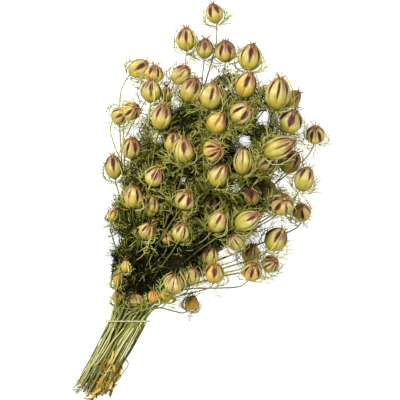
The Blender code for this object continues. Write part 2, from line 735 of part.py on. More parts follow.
def thread_lines(web, threads, stem, main, pods, slot, dice):
    """The lines of a stem's bracts, leaves and dead leaves, as far as there is room for them."""
    for pod in pods:
        for k in range(BRACTS):
            yield threads.place(bract(pod, k), stem)
    for _ in range(LEAVES):
        low = main[dice.randrange(TAIL_STEPS + 3, len(main) - 2)]
        yield threads.place(leaf(web.points[low], web.points[low + 1], LEAF_LENGTH), stem)
    if slot[0] > DEAD_SIDE:
        yield threads.place(leaf(web.points[main[1]], web.points[main[0]], DEAD_LENGTH), stem)


def centre_on_origin(objects):
    """Moves the meshes so that the middle of the bunch's underside is the origin."""
    corners = np.array([vert.co for obj in objects for vert in obj.data.vertices])
    low, high = corners.min(axis=0), corners.max(axis=0)
    shift = Matrix.Translation((-(low[0] + high[0]) / 2, -(low[1] + high[1]) / 2, -low[2]))
    for obj in objects:
        obj.data.transform(shift)


def main():
    for obj in list(bpy.data.objects):
        bpy.data.objects.remove(obj)
    dice = random.Random(SEED)
    stem_pods = []
    for stem, rows in enumerate(STEMS):
        first = sum(map(len, stem_pods))
        stem_pods.append([Pod(stem, row, first + k) for k, row in enumerate(rows)])
    pods = [pod for group in stem_pods for pod in group]
    settle(pods)
    places = slots(stem_pods)
    web = Web()
    mains = [grow_main(web, stem, places[stem], group[0], dice) for stem, group in enumerate(stem_pods)]
    for stem, group in enumerate(stem_pods):
        for pod in group[1:]:
            grow_branch(web, stem, mains[stem], pod)
    bend_clear(web, pods)
    strand = tie_line(places)
    threads = Threads(web, pods, strand, dice)

    dried = plain_material("dried_nigella", (0.52, 0.47, 0.18), 0.7)
    pale = plain_material("pale_strand", (0.62, 0.58, 0.34), 0.8)
    table = make_table(dried)
    objects = []
    for stem, group in enumerate(stem_pods):
        lines = thread_lines(web, threads, stem, mains[stem], group, places[stem], dice)
        meshes = list(line_meshes(web, stem, mains[stem]))
        meshes += [pod_mesh(pod) for pod in group]
        meshes += [thread_mesh(line) for line in lines if line]
        node, *pieces = (new_object("piece", mesh, dried) for mesh in meshes)
        node.name = f"stem_{stem + 1:02d}"
        fuse(node, pieces)
        if any(pod.rests for pod in group):
            press_flat(node, table)
        objects.append(node)
    tie = new_object("tie", tie_mesh(strand), pale)
    fuse(tie, [new_object("piece", mesh, pale) for mesh in knot_meshes(strand)])
    bpy.data.objects.remove(table)
    centre_on_origin([*objects, tie])


if __name__ == "__main__":
    main()
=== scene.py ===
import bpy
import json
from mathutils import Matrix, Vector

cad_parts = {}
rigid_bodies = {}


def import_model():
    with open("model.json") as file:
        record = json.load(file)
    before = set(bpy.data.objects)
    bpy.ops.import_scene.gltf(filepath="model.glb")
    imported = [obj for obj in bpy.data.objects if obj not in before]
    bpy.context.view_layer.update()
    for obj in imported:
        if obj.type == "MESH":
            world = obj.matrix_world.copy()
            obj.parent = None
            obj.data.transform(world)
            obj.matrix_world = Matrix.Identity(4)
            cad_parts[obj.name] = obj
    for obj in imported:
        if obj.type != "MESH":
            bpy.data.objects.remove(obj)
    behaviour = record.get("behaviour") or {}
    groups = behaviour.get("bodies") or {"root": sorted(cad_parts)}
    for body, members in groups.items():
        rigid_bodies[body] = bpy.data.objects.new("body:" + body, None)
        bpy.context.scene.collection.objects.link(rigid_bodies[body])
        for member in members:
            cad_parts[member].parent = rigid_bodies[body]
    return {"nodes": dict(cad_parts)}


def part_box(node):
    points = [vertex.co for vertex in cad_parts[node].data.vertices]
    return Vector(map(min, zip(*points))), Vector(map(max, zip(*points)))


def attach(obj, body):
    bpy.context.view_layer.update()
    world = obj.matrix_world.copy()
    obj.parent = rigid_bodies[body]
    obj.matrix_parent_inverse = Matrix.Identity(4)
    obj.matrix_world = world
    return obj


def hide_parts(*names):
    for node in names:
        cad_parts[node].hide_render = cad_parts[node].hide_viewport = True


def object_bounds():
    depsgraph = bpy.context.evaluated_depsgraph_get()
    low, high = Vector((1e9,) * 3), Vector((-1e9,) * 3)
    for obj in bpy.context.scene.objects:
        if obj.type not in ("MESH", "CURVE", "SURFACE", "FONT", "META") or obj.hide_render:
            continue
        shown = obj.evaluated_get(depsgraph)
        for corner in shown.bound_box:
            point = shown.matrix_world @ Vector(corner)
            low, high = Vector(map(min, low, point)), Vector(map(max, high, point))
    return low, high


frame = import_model()
CAD_BOX = [list(corner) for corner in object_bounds()]

import bmesh
import bpy
import functools
import json
import math
import numpy as np
import random
from mathutils import Matrix, Vector

bl_info = {
    "name": "Dried nigella bunch",
    "version": (1, 0, 0),
    "blender": (4, 5, 0),
    "location": "View3D > Sidebar > Nigella",
    "description": "Dresses a tied bunch of dried nigella seed heads with its stems, pods, threads and tie",
    "category": "Add Mesh",
}

MM = 0.001
SEED = 7

# The camera looks straight down. The photograph's frame is 384 mm wide at the heads, and the tie, which
# runs from the lower left to the middle, is turned 26 degrees to the frame.
SENSOR = 36.0
CAMERA_TURN = 26.0
CAMERA_DISTANCE = 6.0
FRAME_WIDTH = 0.384
CAMERA_ACROSS = 10.8
CAMERA_ALONG = 135.6
CAMERA_HEIGHT = 50.0
PHOTO_TIE = (128.0, 322.0)
PIXEL = 0.96

# Each light: where it hangs from the middle of the view (right, up, above, in metres), size and power.
KEY_LIGHT = ((-0.9, 0.75, 2.2), 0.6, 90.0)
FILL_LIGHT = ((1.6, -0.6, 1.8), 1.6, 20.0)
SKY_STRENGTH = 0.18
TABLE_GLOW = 0.92
TABLE_HALF = 12.0

# Where the leaves stand close, as an outline in the photograph's pixels, and the holes in them, each with
# its radius. The outline starts at the left of the tie.
LEAFY_OUTLINE = (
    (110, 318), (104, 285), (105, 215), (120, 168), (138, 112), (168, 88), (228, 62), (264, 76), (300, 98),
    (309, 142), (290, 176), (298, 206), (256, 238), (228, 260), (204, 284), (150, 314),
)
LEAF_HOLES = (
    (177, 101, 4), (158, 137, 3), (263, 117, 4), (246, 141, 4), (206, 68, 11), (226, 258, 8), (282, 178, 8),
    (150, 109, 3), (265, 222, 4), (184, 181, 2), (236, 188, 3), (118, 190, 3), (116, 240, 3), (140, 312, 3),
)
LEAF_EDGE = (-3.0, 10.0)
HOLE_EDGE = 4.0
COVER_CELL = 2.0
COVER_FROM = (-140.0, -80.0)
COVER_CELLS = (140, 210)

# No leaf grows nearer the tie than this. Up to the bare stretch's end, and to the right of its side, most
# leaves have dropped, and to the left of it the mat of older ones is thinner.
LEAFY_FROM = 8.0
BARE_UNTIL = 108.0
BARE_FROM = -25.0
MAT_THINNED = 0.55

# A stem that lies high, nearer the tie than this, shows: no leaf lies close above it.
CLEAR_UNTIL = 140.0
CLEAR_SHARE = 0.5
CLEAR_WIDTH = 2.2
CLEAR_ABOVE = 25.0

# Threads keep out of a share of each pod's radius. Seen from above, a share of it stays clear of those
# that lie less than so far above.
POD_TOUCH = 0.97
POD_SHOWS = 0.9
POD_ABOVE = 40.0

# The leaves are shared out over a few pieces. Each kind has its thickness at root and tip, and its length
# against the usual one.
LEAF_PARTS = 3
MAT_PARTS = 2
MAT_COVER = 0.8
LEAF_THICKS = (0.34, 0.19)
MAT_THICKS = (0.60, 0.36)
NEST_THICKS = (0.28, 0.16)
LEAF_LENGTHS = (0.6, 1.25)
MAT_LENGTHS = (1.1, 1.8)
NEST_LENGTHS = (0.35, 0.7)
NEST_LEAVES = 4

# A divided leaf: how much its middle thread and its side threads bend, how far along each stretch a side
# pair starts, how far it leans aside, its length against the leaf's and how much shorter each next pair is,
# and how likely a side thread has a fork, with its length.
SPINE_BEND = (0.2, 1.1)
SIDE_START = (0.3, 1.0)
SIDE_LEAN = (0.5, 1.1)
SIDE_LENGTHS = (0.38, 0.68)
SIDE_SHORTER = 0.16
SIDE_BEND = (0.2, 1.3)
FORK_CHANCE = 0.7
FORK_LENGTH = 0.6

# How far the threads may stand out of the part's box at its sides, in metres, and how high above the table
# the middle of a bract's threads stays.
SPILL = 0.004
BRACT_FLOOR = 0.4

# How far a stem's points stray, how stout a stem is against the part's own, and how bumpy it is.
STEM_STRAY = 0.12
STEM_STOUT = (0.82, 1.02)
STEM_BUMPS = (0.93, 1.05)

# A pod's template: its points from seam to seam and from foot to top, and the heights of its lowest ring
# and of its sunk top. The powers set where it is widest, how full it is, and how narrow its grooves are.
# Its shoulder sinks a little from its height on, and its grooves start from its foot.
POD_POINTS = 8
POD_RINGS = 16
POD_FOOT = 0.012
POD_NAVEL = 0.955
POD_WIDEST = 0.9
POD_FULL = 0.62
GROOVE_POWER = 2.4
GROOVE_RISE = 0.25
SHOULDER_FROM = 0.9
SHOULDER_SINK = 0.045

# Few of the other pods dried golden, and at most this much.
GOLD_POWER = 4
GOLD_MOST = 0.5

# How wide a pod's dark bands are, near the tie and elsewhere.
NEAR_TIE_BANDS = 0.45
BANDS = (0.7, 1.0)

# A beak: where it starts along the pod and out from its middle, how it leans out, its length, its bend, its
# thickness from root to tip, and how high above the table it stays.
BEAK_ROOT = (0.945, 0.16)
BEAK_LEAN = (0.45, 0.8)
BEAK_LENGTHS = (0.85, 1.15)
BEAK_BEND = (0.3, 1.0)
BEAK_THICKS = (0.62, 0.48, 0.36, 0.28, 0.22, 0.17, 0.1)
BEAK_FLOOR = 0.6

# A bract: how far below the pod it starts, its reach out and up against the pod's size, how far it is
# turned from its place in the ring, its tone, its thickness and that of its side threads, how many of
# those are lost, how they lean aside and outwards, and their length against the pod's. Most bracts that
# would hide the pod from above are left out. The small pods near the tie stand in broader ones.
BRACT_DROP = (0.5, 2.5)
BRACT_WIDTHS = (1.1, 1.38)
BRACT_HEIGHTS = (0.75, 1.25)
BRACT_TURN = (-0.3, 0.3)
BRACT_TONES = (0.25, 1.0)
BRACT_THICKS = (0.55, 0.28)
BRACT_SIDE_THICKS = (0.42, 0.22)
BRACT_SIDE_LOST = 0.2
BRACT_SIDE_LEAN = (0.6, 1.1)
BRACT_SIDE_OUT = (0.0, 0.5)
BRACT_SIDE_LENGTHS = (0.25, 0.5)
BRACT_HIDES = 0.55
BRACT_LOST = 0.8
NEAR_TIE_BRACT = 1.7

# The tendril that stands off the right of the cut ends: places in the photograph's pixels, and heights.
TENDRIL = (
    (121, 357, 4), (124.5, 360, 3.4), (127.6, 364, 2.6), (126.2, 369, 1.8), (121.5, 375, 1.2),
    (119, 380, 1.0), (115, 384, 0.8),
)
TENDRIL_THICKS = (0.6, 0.35)

# Dead leaves hang on the cut ends right of a side, and stray little beyond them. Their width is given from
# root to tip. Rootlets stand on the cut ends left of a side.
DEAD_SIDE = 1.0
DEAD_LEAVES = 11
DEAD_STRAY = 3.0
DEAD_LENGTHS = (8, 17)
DEAD_BEND = (0.5, 2.4)
DEAD_WIDTHS = (0.5, 0.9, 1, 1, 0.95, 0.85, 0.7, 0.5, 0.2)
ROOT_SIDE = -4.0
ROOTLETS = 3
ROOTLET_LENGTHS = (7, 16)
ROOTLET_FORKS = (4, 9)
SHOOTS = 3
SHOOT_THICKS = (0.65, 0.3)
CROSSINGS = 8
CROSSING_THICKS = (0.9, 0.9, 0.85, 0.8)
CROSSING_RISE = 2.4

# The strand's plies: how many, how far from its middle, how thick, and how often they twist round it.
PLIES = 3
PLY_OUT = 0.30
PLY_RADIUS = 0.40
PLY_TWISTS = 16
PLY_STEP = 0.6
KNOT_PLY_RADIUS = 0.42
END_THICKS = (0.4, 0.3, 0.18)

# The few pods that dried golden, by their place across and along the bunch, and how much they did.
GOLDEN = {(11, 33): 0.9, (47, 43): 0.95, (-28, 33): 0.4, (-26, 47): 0.45, (22, 40): 0.4, (-7, 210): 0.4}

# The part's own layout, in millimetres, with the middle of the tie as its origin. The named values and
# the functions that use them are the same as in the part's source, so every line and pod falls together.
SLOT_PITCH = 4.3
ROW_PITCH = 3.3
ROWS = 4
STEM_RADIUS = 1.3
BRANCH_RADIUS = 0.75
STALK_RADIUS = 0.65
TIE_RADIUS = 0.7
TIE_SLANT = math.tan(math.radians(26))
FIT_GAP = 0.35
STRAIGHT_HALF = 4.5
FAN_BACK = 40.0
TAIL_LENGTH = 80.0
TAIL_ROUNDING = 0.8
TAIL_RAGGED = 6.0
TAIL_SPREAD = 0.98
TAIL_WAIST = 0.16
TAIL_LEAN = -1.5
TAIL_STRAY = 0.5
TAIL_WANDER = 1.0
TAIL_TURN = 2.4
TAIL_SINK = 0.9
TAIL_FLOOR_AIR = 0.1
ROW_SHEAR = (1.6, -1.6, 2.0, -1.4)
RIM_HEIGHT = 28.0
DOME_HEIGHT = 84.0
DOME_CENTRE = (5.0, 175.0)
DOME_HALF = (118.0, 150.0)
REST_DEPTH = 0.9
AIR = 1.1
SETTLE_ROUNDS = 300
BEND_ROUNDS = 200
LOOK_AGAIN_EVERY = 8
NEAR_ENOUGH = 12.0
EVEN_OUT_UNTIL = 120
EVEN_OUT_SHARE = 0.25
LONGEST_MOVE = 3.0
FLOOR_AIR = 0.3
LOW_POD = 56.0
MAIN_STEPS = 7
TAIL_STEPS = 3
BRANCH_STEPS = 4
BRANCH_SHARE = 0.36
BRANCH_REACH = (12.0, 62.0)
LEADER_PULL = 0.42
BRANCH_PULL = 0.7
BEAK_RISE = 6.5
CROWN_WIDTH = 0.56
CORE_SPARE = 0.5
CROWN_SHARE = 0.6
LOBES = (5, 6, 6, 5, 7)
KNOT_OUT = 0.4

# Each stem's pods, its leader first. A pod is: across, along, share of the heap's height (0 lies on the
# table, 1 tops the heap), width, length, heading from +Y towards +X, pitch up from the table.
STEMS = (
    ((-78, 128, 0.45, 17.3, 25.0, -31, 5), (-58, 86, 0.40, 10.6, 14.4, -6, 0),
     (-70, 152, 0.60, 18.7, 25.0, -21, 35)),
    ((-86, 184, 0.60, 19.2, 19.2, 24, 50), (-94, 175, 0.35, 18.2, 19.2, 34, 30)),
    ((-98, 224, 0.50, 18.2, 23.0, 29, 15), (-82, 225, 0.60, 19.2, 19.2, -16, 10),
     (-20, 16, 0.80, 9.6, 15.4, -26, 25)),
    ((-77, 209, 0.80, 21.1, 23.0, -21, 10), (-63, 213, 0.50, 10.6, 16.3, -26, 0),
     (-28, 33, 0.80, 8.6, 17.3, -21, 5)),
    ((-57, 191, 0.80, 20.2, 26.9, -11, 10), (-48, 111, 0.80, 19.2, 24.0, -21, 20),
     (-57, 190, 0.00, 18.4, 23.0, -12, 0)),
    ((-69, 269, 0.60, 20.2, 24.5, -26, 15), (-58, 236, 0.60, 19.2, 24.0, 19, 35),
     (-26, 47, 0.70, 8.6, 12.5, -21, 5)),
    ((-56, 304, 0.50, 17.8, 20.8, -42, 15), (-49, 269, 0.45, 17.8, 21.1, -21, 20),
     (-43, 227, 0.00, 19.0, 23.0, -8, 0)),
    ((-38, 137, 0.90, 20.2, 21.1, -1, 30), (-29, 110, 0.50, 17.3, 23.0, -16, 5)),
    ((-43, 227, 0.75, 21.1, 26.9, -1, 15), (-37, 174, 0.55, 17.3, 23.0, -21, 10),
     (-23, 230, 0.00, 18.0, 22.0, 6, 0)),
    ((-24, 172, 1.00, 21.1, 26.9, -26, 20), (-22, 87, 0.90, 16.3, 17.3, 4, 25)),
    ((-30, 275, 0.60, 21.4, 23.0, -26, 25), (-23, 230, 1.00, 23.0, 26.9, -11, 20)),
    ((-6, 280, 0.80, 24.0, 27.8, -16, 10), (-7, 210, 0.80, 22.1, 25.0, 4, 20),
     (1, 184, 0.00, 18.6, 23.0, -4, 0)),
    ((-2, 130, 1.00, 20.2, 21.1, -1, 35), (-2, 89, 0.60, 11.5, 12.5, -36, 10),
     (-2, 22, 1.00, 13.4, 15.4, -41, 25)),
    ((2, 254, 0.90, 21.1, 27.4, -6, 10), (2, 184, 1.00, 21.6, 22.1, 49, 45)),
    ((10, 228, 1.00, 22.1, 25.0, 24, 35), (16, 165, 0.80, 21.1, 25.9, 4, 10)),
    ((33, 260, 1.00, 25.0, 32.6, -16, 10), (37, 219, 0.20, 19.2, 23.0, -26, 50),
     (33, 259, 0.00, 18.4, 22.0, 10, 0)),
    ((48, 262, 0.50, 16.3, 21.1, 19, 15), (56, 242, 0.70, 23.0, 25.9, -6, 30)),
    ((31, 187, 0.80, 18.7, 26.9, -23, 5), (22, 136, 0.35, 17.3, 19.2, -6, 10)),
    ((8, 100, 0.95, 17.3, 19.2, -6, 20), (11, 33, 1.00, 11.5, 12.5, -26, 20),
     (9, 101, 0.00, 16.6, 20.0, 8, 0)),
    ((57, 214, 1.00, 21.6, 32.6, 40, 5), (35, 125, 0.95, 19.7, 23.0, 4, 20)),
    ((83, 241, 0.40, 19.2, 20.2, -26, 40), (73, 207, 0.45, 21.1, 25.0, 4, 15),
     (58, 213, 0.00, 18.4, 22.0, 14, 0)),
    ((51, 195, 0.60, 19.2, 23.0, 24, 20), (53, 162, 0.35, 19.2, 23.0, -26, 35),
     (60, 138, 0.00, 17.8, 22.0, 12, 0)),
    ((92, 198, 0.60, 20.2, 25.9, -6, 5), (66, 173, 0.15, 17.3, 21.1, -26, 20)),
    ((60, 138, 1.00, 18.7, 26.9, 36, 10), (23, 53, 1.00, 20.2, 20.2, -16, 30)),
    ((84, 167, 0.80, 23.0, 23.0, -11, 60), (43, 92, 0.50, 17.3, 19.2, -16, 10)),
    ((104, 168, 0.45, 18.7, 20.2, -36, 45), (59, 115, 0.80, 17.3, 19.2, -60, 30)),
    ((93, 134, 0.70, 22.6, 25.9, 9, 10), (77, 111, 0.30, 18.2, 21.1, -11, 25),
     (22, 40, 0.80, 12.5, 13.4, -26, 5)),
    ((99, 110, 0.35, 18.2, 19.2, 34, 50), (86, 96, 0.80, 19.7, 21.1, -11, 40)),
    ((54, 79, 0.90, 19.2, 21.1, -21, 25), (36, 67, 0.80, 16.3, 17.3, -16, 15),
     (47, 43, 0.40, 13.9, 15.4, -6, 10)),
)

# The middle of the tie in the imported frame, found from the right and upper edges of its box.
HALF_TIE = 16.125 + STEM_RADIUS + FIT_GAP + TIE_RADIUS
_, TIE_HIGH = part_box("tie")
ORIGIN = np.array((
    TIE_HIGH.x - (HALF_TIE + TIE_RADIUS) * MM,
    TIE_HIGH.y - (HALF_TIE * TIE_SLANT + TIE_RADIUS / math.cos(math.radians(30))) * MM,
    0.0,
))


def pod_axis(heading, pitch):
    """The unit vector from a pod's base to its beaks."""
    turn, lift = math.radians(heading), math.radians(pitch)
    return np.array((math.sin(turn) * math.cos(lift), math.cos(turn) * math.cos(lift), math.sin(lift)))


def heap_height(x, y):
    """How high the heap of heads stands above the table at a place."""
    inside = 1 - ((x - DOME_CENTRE[0]) / DOME_HALF[0]) ** 2 - ((y - DOME_CENTRE[1]) / DOME_HALF[1]) ** 2
    return RIM_HEIGHT + DOME_HEIGHT * math.sqrt(max(inside, 0.0))


class Pod:
    """One seed pod: where it is, which way it points, and how large it is."""

    def __init__(self, stem, row, number):
        across, along, share, width, length, heading, pitch = row
        self.stem = stem
        self.number = number
        self.radius = width / 2
        self.length = length
        self.axis = pod_axis(heading, pitch)
        self.lobes = LOBES[number % len(LOBES)]
        self.near_tie = along < LOW_POD
        flat, tall = self.radius * math.cos(math.radians(pitch)), length / 2 * self.axis[2]
        self.lowest = math.hypot(flat, tall) - (REST_DEPTH if share == 0 else 0)
        self.rests = share == 0
        room = max(heap_height(across, along) - 2 * self.lowest, 0)
        self.centre = np.array((across, along, self.lowest + share * room))

    @property
    def base(self):
        return self.centre - self.axis * self.length / 2

    @property
    def top(self):
        return self.centre + self.axis * self.length / 2

    def core(self):
        """The ends of the line that the pod's roundness is measured from."""
        half = max(self.length / 2 - self.radius, 0) + CORE_SPARE
        return self.centre - self.axis * half, self.centre + self.axis * half

    def crown(self):
        """The ends of the line up through the beaks."""
        return self.top - self.axis, self.top + self.axis * BEAK_RISE * CROWN_SHARE


def nearest(p0, p1, q0, q1):
    """Where pairs of segments come nearest: the share along each, and the vector from q to p there."""
    u, v, w = p1 - p0, q1 - q0, p0 - q0
    a, b, c = (u * u).sum(1), (u * v).sum(1), (v * v).sum(1)
    d, e = (u * w).sum(1), (v * w).sum(1)
    span = a * c - b * b
    s = np.where(span > 1e-9, (b * e - c * d) / np.maximum(span, 1e-9), 0.5).clip(0, 1)
    t = ((b * s + e) / np.maximum(c, 1e-9)).clip(0, 1)
    s = ((b * t - d) / np.maximum(a, 1e-9)).clip(0, 1)
    return s, t, w + s[:, None] * u - t[:, None] * v


def settle(pods):
    """Lifts and lowers the pods until no two of them overlap. Their places seen from above stay."""
    both = pods + pods
    first, second = np.triu_indices(len(both), 1)
    apart = second != first + len(pods)
    first, second = first[apart], second[apart]
    radii = np.array([pod.radius for pod in pods] + [pod.radius * CROWN_WIDTH for pod in pods])
    for _ in range(SETTLE_ROUNDS):
        ends = [pod.core() for pod in pods] + [pod.crown() for pod in pods]
        low, high = (np.array(side) for side in zip(*ends))
        _, _, between = nearest(low[first], high[first], low[second], high[second])
        bite = radii[first] + radii[second] + AIR - np.linalg.norm(between, axis=1)
        hits = np.flatnonzero(bite > 0)
        if not len(hits):
            break
        for k in hits:
            a, b = both[first[k]], both[second[k]]
            upper, lower = (a, b) if a.centre[2] >= b.centre[2] else (b, a)
            step = min(bite[k], LONGEST_MOVE) / 2
            upper.centre[2] += step
            if not lower.rests:
                lower.centre[2] = max(lower.centre[2] - step, lower.lowest)


def slots(stem_pods):
    """Where each stem stands in the tie, so that stems which part to a side or upwards start there."""
    sides = [np.mean([math.atan2(p.centre[0], p.centre[1] + FAN_BACK) for p in pods]) for pods in stem_pods]
    heights = [np.mean([p.centre[2] for p in pods]) for pods in stem_pods]
    for stem, pods in enumerate(stem_pods):
        if min(p.centre[1] for p in pods) < LOW_POD:
            heights[stem] += 2 * DOME_HEIGHT
    order = sorted(range(len(stem_pods)), key=lambda i: sides[i])
    columns = math.ceil(len(order) / ROWS)
    lowest = 2 * TIE_RADIUS + FIT_GAP + STEM_RADIUS
    places = {}
    for column in range(columns):
        group = sorted(order[column * ROWS:(column + 1) * ROWS], key=lambda i: heights[i])
        for row, stem in enumerate(group):
            stagger = (row % 2 - 0.5) * SLOT_PITCH / 2
            x = (column - (columns - 1) / 2) * SLOT_PITCH + stagger
            places[stem] = (x, lowest + row * ROW_PITCH, row)
    return places


def swept(start, start_pull, end, end_pull, steps):
    """Points along a smooth curve that leaves start along start_pull and reaches end along end_pull."""
    found = []
    for t in np.linspace(0, 1, steps + 1):
        a, b = 2 * t**3 - 3 * t**2 + 1, t**3 - 2 * t**2 + t
        c, d = -2 * t**3 + 3 * t**2, t**3 - t**2
        found.append(a * start + b * start_pull + c * end + d * end_pull)
    return found


class Web:
    """Every stem's and branch's line as points that share ends where one grows from another."""

    def __init__(self):
        self.points, self.radii, self.fixed = [], [], []
        self.links, self.owners, self.ends_at = [], [], []
        self.lines = []

    def add_point(self, place, radius, fixed=False):
        self.points.append(np.array(place, float))
        self.radii.append(radius)
        self.fixed.append(fixed)
        return len(self.points) - 1

    def add_line(self, ids, stem, pod):
        self.lines.append((ids, stem, pod))
        for a, b in zip(ids, ids[1:]):
            self.links.append((a, b))
            self.owners.append(stem)
            self.ends_at.append(pod.number if b == ids[-1] else -1)


def grow_main(web, stem, slot, leader, dice):
    """The stem from its cut end through the tie to its leader's base. Returns the ids of its points."""
    x, z, row = slot
    tail = -TAIL_LENGTH + TAIL_ROUNDING * abs(x) + dice.uniform(-TAIL_RAGGED, TAIL_RAGGED)
    end_x = x * TAIL_SPREAD + TAIL_LEAN + ROW_SHEAR[row] + dice.uniform(-TAIL_STRAY, TAIL_STRAY)
    end_z = max(z - TAIL_SINK * row, STEM_RADIUS + TAIL_FLOOR_AIR)
    held = x * TIE_SLANT
    ids = []
    for k in range(TAIL_STEPS):
        share = 1 - k / TAIL_STEPS
        drawn_in = 4 * TAIL_WAIST * share * (1 - share) * x
        wander = TAIL_WANDER * math.sin(TAIL_TURN * stem + k)
        at = x + (end_x - x) * share - drawn_in + wander
        place = (at, held + (tail - held) * share, z + (end_z - z) * share)
        ids.append(web.add_point(place, STEM_RADIUS))
    ids += [web.add_point((x, held + y, z), STEM_RADIUS, True) for y in (-STRAIGHT_HALF, 0, STRAIGHT_HALF)]
    start = np.array((x, held + STRAIGHT_HALF, z))
    reach = np.linalg.norm(leader.base - start)
    arrival = leader.axis * reach * LEADER_PULL
    line = swept(start, np.array((0, 1, 0)) * reach, leader.base, arrival, MAIN_STEPS)
    for k, place in enumerate(line[1:], 1):
        share = k / MAIN_STEPS
        radius = STEM_RADIUS + (STALK_RADIUS - STEM_RADIUS) * share
        ids.append(web.add_point(place, radius, k == MAIN_STEPS))
    web.add_line(ids, stem, leader)
    return ids


def grow_branch(web, stem, main, pod):
    """A side branch, from a point of the stem well below the pod, to the pod's base."""
    usable = main[TAIL_STEPS + 2:-1]
    away = np.linalg.norm(pod.base - web.points[usable[0]])
    reach = min(max(BRANCH_SHARE * away, BRANCH_REACH[0]), BRANCH_REACH[1])
    wanted = pod.base[1] - reach
    root = min(usable, key=lambda i: abs(web.points[i][1] - wanted))
    start = web.points[root]
    after = web.points[main[main.index(root) + 1]]
    along = (after - start) / np.linalg.norm(after - start)
    pull = BRANCH_PULL * np.linalg.norm(pod.base - start)
    line = swept(start, along * pull, pod.base, pod.axis * pull, BRANCH_STEPS)
    ids = [root]
    for k, place in enumerate(line[1:], 1):
        radius = BRANCH_RADIUS + (STALK_RADIUS - BRANCH_RADIUS) * k / BRANCH_STEPS
        ids.append(web.add_point(place, radius, k == BRANCH_STEPS))
    web.add_line(ids, stem, pod)


def bend_clear(web, pods):
    """Bends every line round the other stems' lines and pods, and keeps it above the table."""
    ends = [pod.core() for pod in pods] + [pod.crown() for pod in pods]
    sizes = [pod.radius for pod in pods] + [pod.radius * CROWN_WIDTH for pod in pods]
    count = len(web.points)
    points = np.array(web.points + [place for pair in ends for place in pair])
    radii = np.array(web.radii)
    free = ~np.array(web.fixed + [True] * (2 * len(ends)))
    links = np.array(web.links + [(count + 2 * k, count + 2 * k + 1) for k in range(len(ends))])
    lines = len(web.links)
    thick = np.concatenate([radii[links[:lines]].max(1), sizes])
    owners = np.array(web.owners + [pod.stem for pod in pods] * 2)
    goal = np.array(web.ends_at + [pod.number for pod in pods] * 2)
    first, second = np.triu_indices(len(links), 1)
    is_line = first < lines
    other_stem = owners[first] != owners[second]
    other_pod = (second >= lines) & (goal[first] != goal[second])
    first, second = (ids[is_line & (other_stem | other_pod)] for ids in (first, second))
    rest = points.copy()
    for round_number in range(BEND_ROUNDS):
        p0, p1 = points[links[first, 0]], points[links[first, 1]]
        q0, q1 = points[links[second, 0]], points[links[second, 1]]
        if round_number % LOOK_AGAIN_EVERY == 0:
            reach = (np.linalg.norm(p1 - p0, axis=1) + np.linalg.norm(q1 - q0, axis=1)) / 2
            middle = np.linalg.norm(p0 + p1 - q0 - q1, axis=1) / 2
            room = thick[first] + thick[second] + AIR + NEAR_ENOUGH
            near = np.flatnonzero(middle < reach + room)
        a, b = first[near], second[near]
        s, t, gap = nearest(p0[near], p1[near], q0[near], q1[near])
        distance = np.maximum(np.linalg.norm(gap, axis=1), 1e-6)
        bite = thick[a] + thick[b] + AIR - distance
        hit = bite > 0
        a, b, s, t = a[hit], b[hit], s[hit], t[hit]
        push = gap[hit] / distance[hit, None] * np.minimum(bite[hit], LONGEST_MOVE)[:, None] / 2
        move = np.zeros_like(points)
        for ids, share, sign in ((a, s, 1), (b, t, -1)):
            np.add.at(move, links[ids, 0], sign * push * (1 - share)[:, None])
            np.add.at(move, links[ids, 1], sign * push * share[:, None])
        length = np.linalg.norm(move, axis=1, keepdims=True)
        move *= np.minimum(1, LONGEST_MOVE / np.maximum(length, 1e-9))
        points[free] += move[free]
        if round_number < EVEN_OUT_UNTIL:
            shift = points - rest
            for ids, _, _ in web.lines:
                inner = ids[1:-1]
                even = (shift[ids[:-2]] + shift[ids[2:]]) / 2
                points[inner] += np.where(free[inner, None], EVEN_OUT_SHARE * (even - shift[inner]), 0)
        floor = radii + FLOOR_AIR
        low = free[:count] & (points[:count, 2] < floor)
        points[:count][low, 2] = floor[low]
    web.points = list(points[:count])


@functools.lru_cache(maxsize=None)
def grown():
    """The pods, the web of their stems, and where each stem stands in the tie, as in the part's source."""
    dice = random.Random(SEED)
    stem_pods = []
    for stem, rows in enumerate(STEMS):
        first = sum(map(len, stem_pods))
        stem_pods.append([Pod(stem, row, first + k) for k, row in enumerate(rows)])
    pods = [pod for group in stem_pods for pod in group]
    settle(pods)
    places = slots(stem_pods)
    web = Web()
    mains = [grow_main(web, stem, places[stem], group[0], dice) for stem, group in enumerate(stem_pods)]
    for stem, group in enumerate(stem_pods):
        for pod in group[1:]:
            grow_branch(web, stem, mains[stem], pod)
    bend_clear(web, pods)
    return pods, web, places


# Where the camera sees what.

def pixel_place(x, y, z=0.0):
    """The place in the layout that the camera shows at a pixel of the photograph."""
    right, up = x - PHOTO_TIE[0], PHOTO_TIE[1] - y
    turn = math.radians(CAMERA_TURN)
    across = (right * math.cos(turn) - up * math.sin(turn)) * PIXEL
    along = (right * math.sin(turn) + up * math.cos(turn)) * PIXEL
    return np.array((across, along, z))


def eased(value, low, high):
    """0 to 1, with soft ends, as value goes from low to high."""
    t = np.clip((value - low) / (high - low), 0, 1)
    return t * t * (3 - 2 * t)


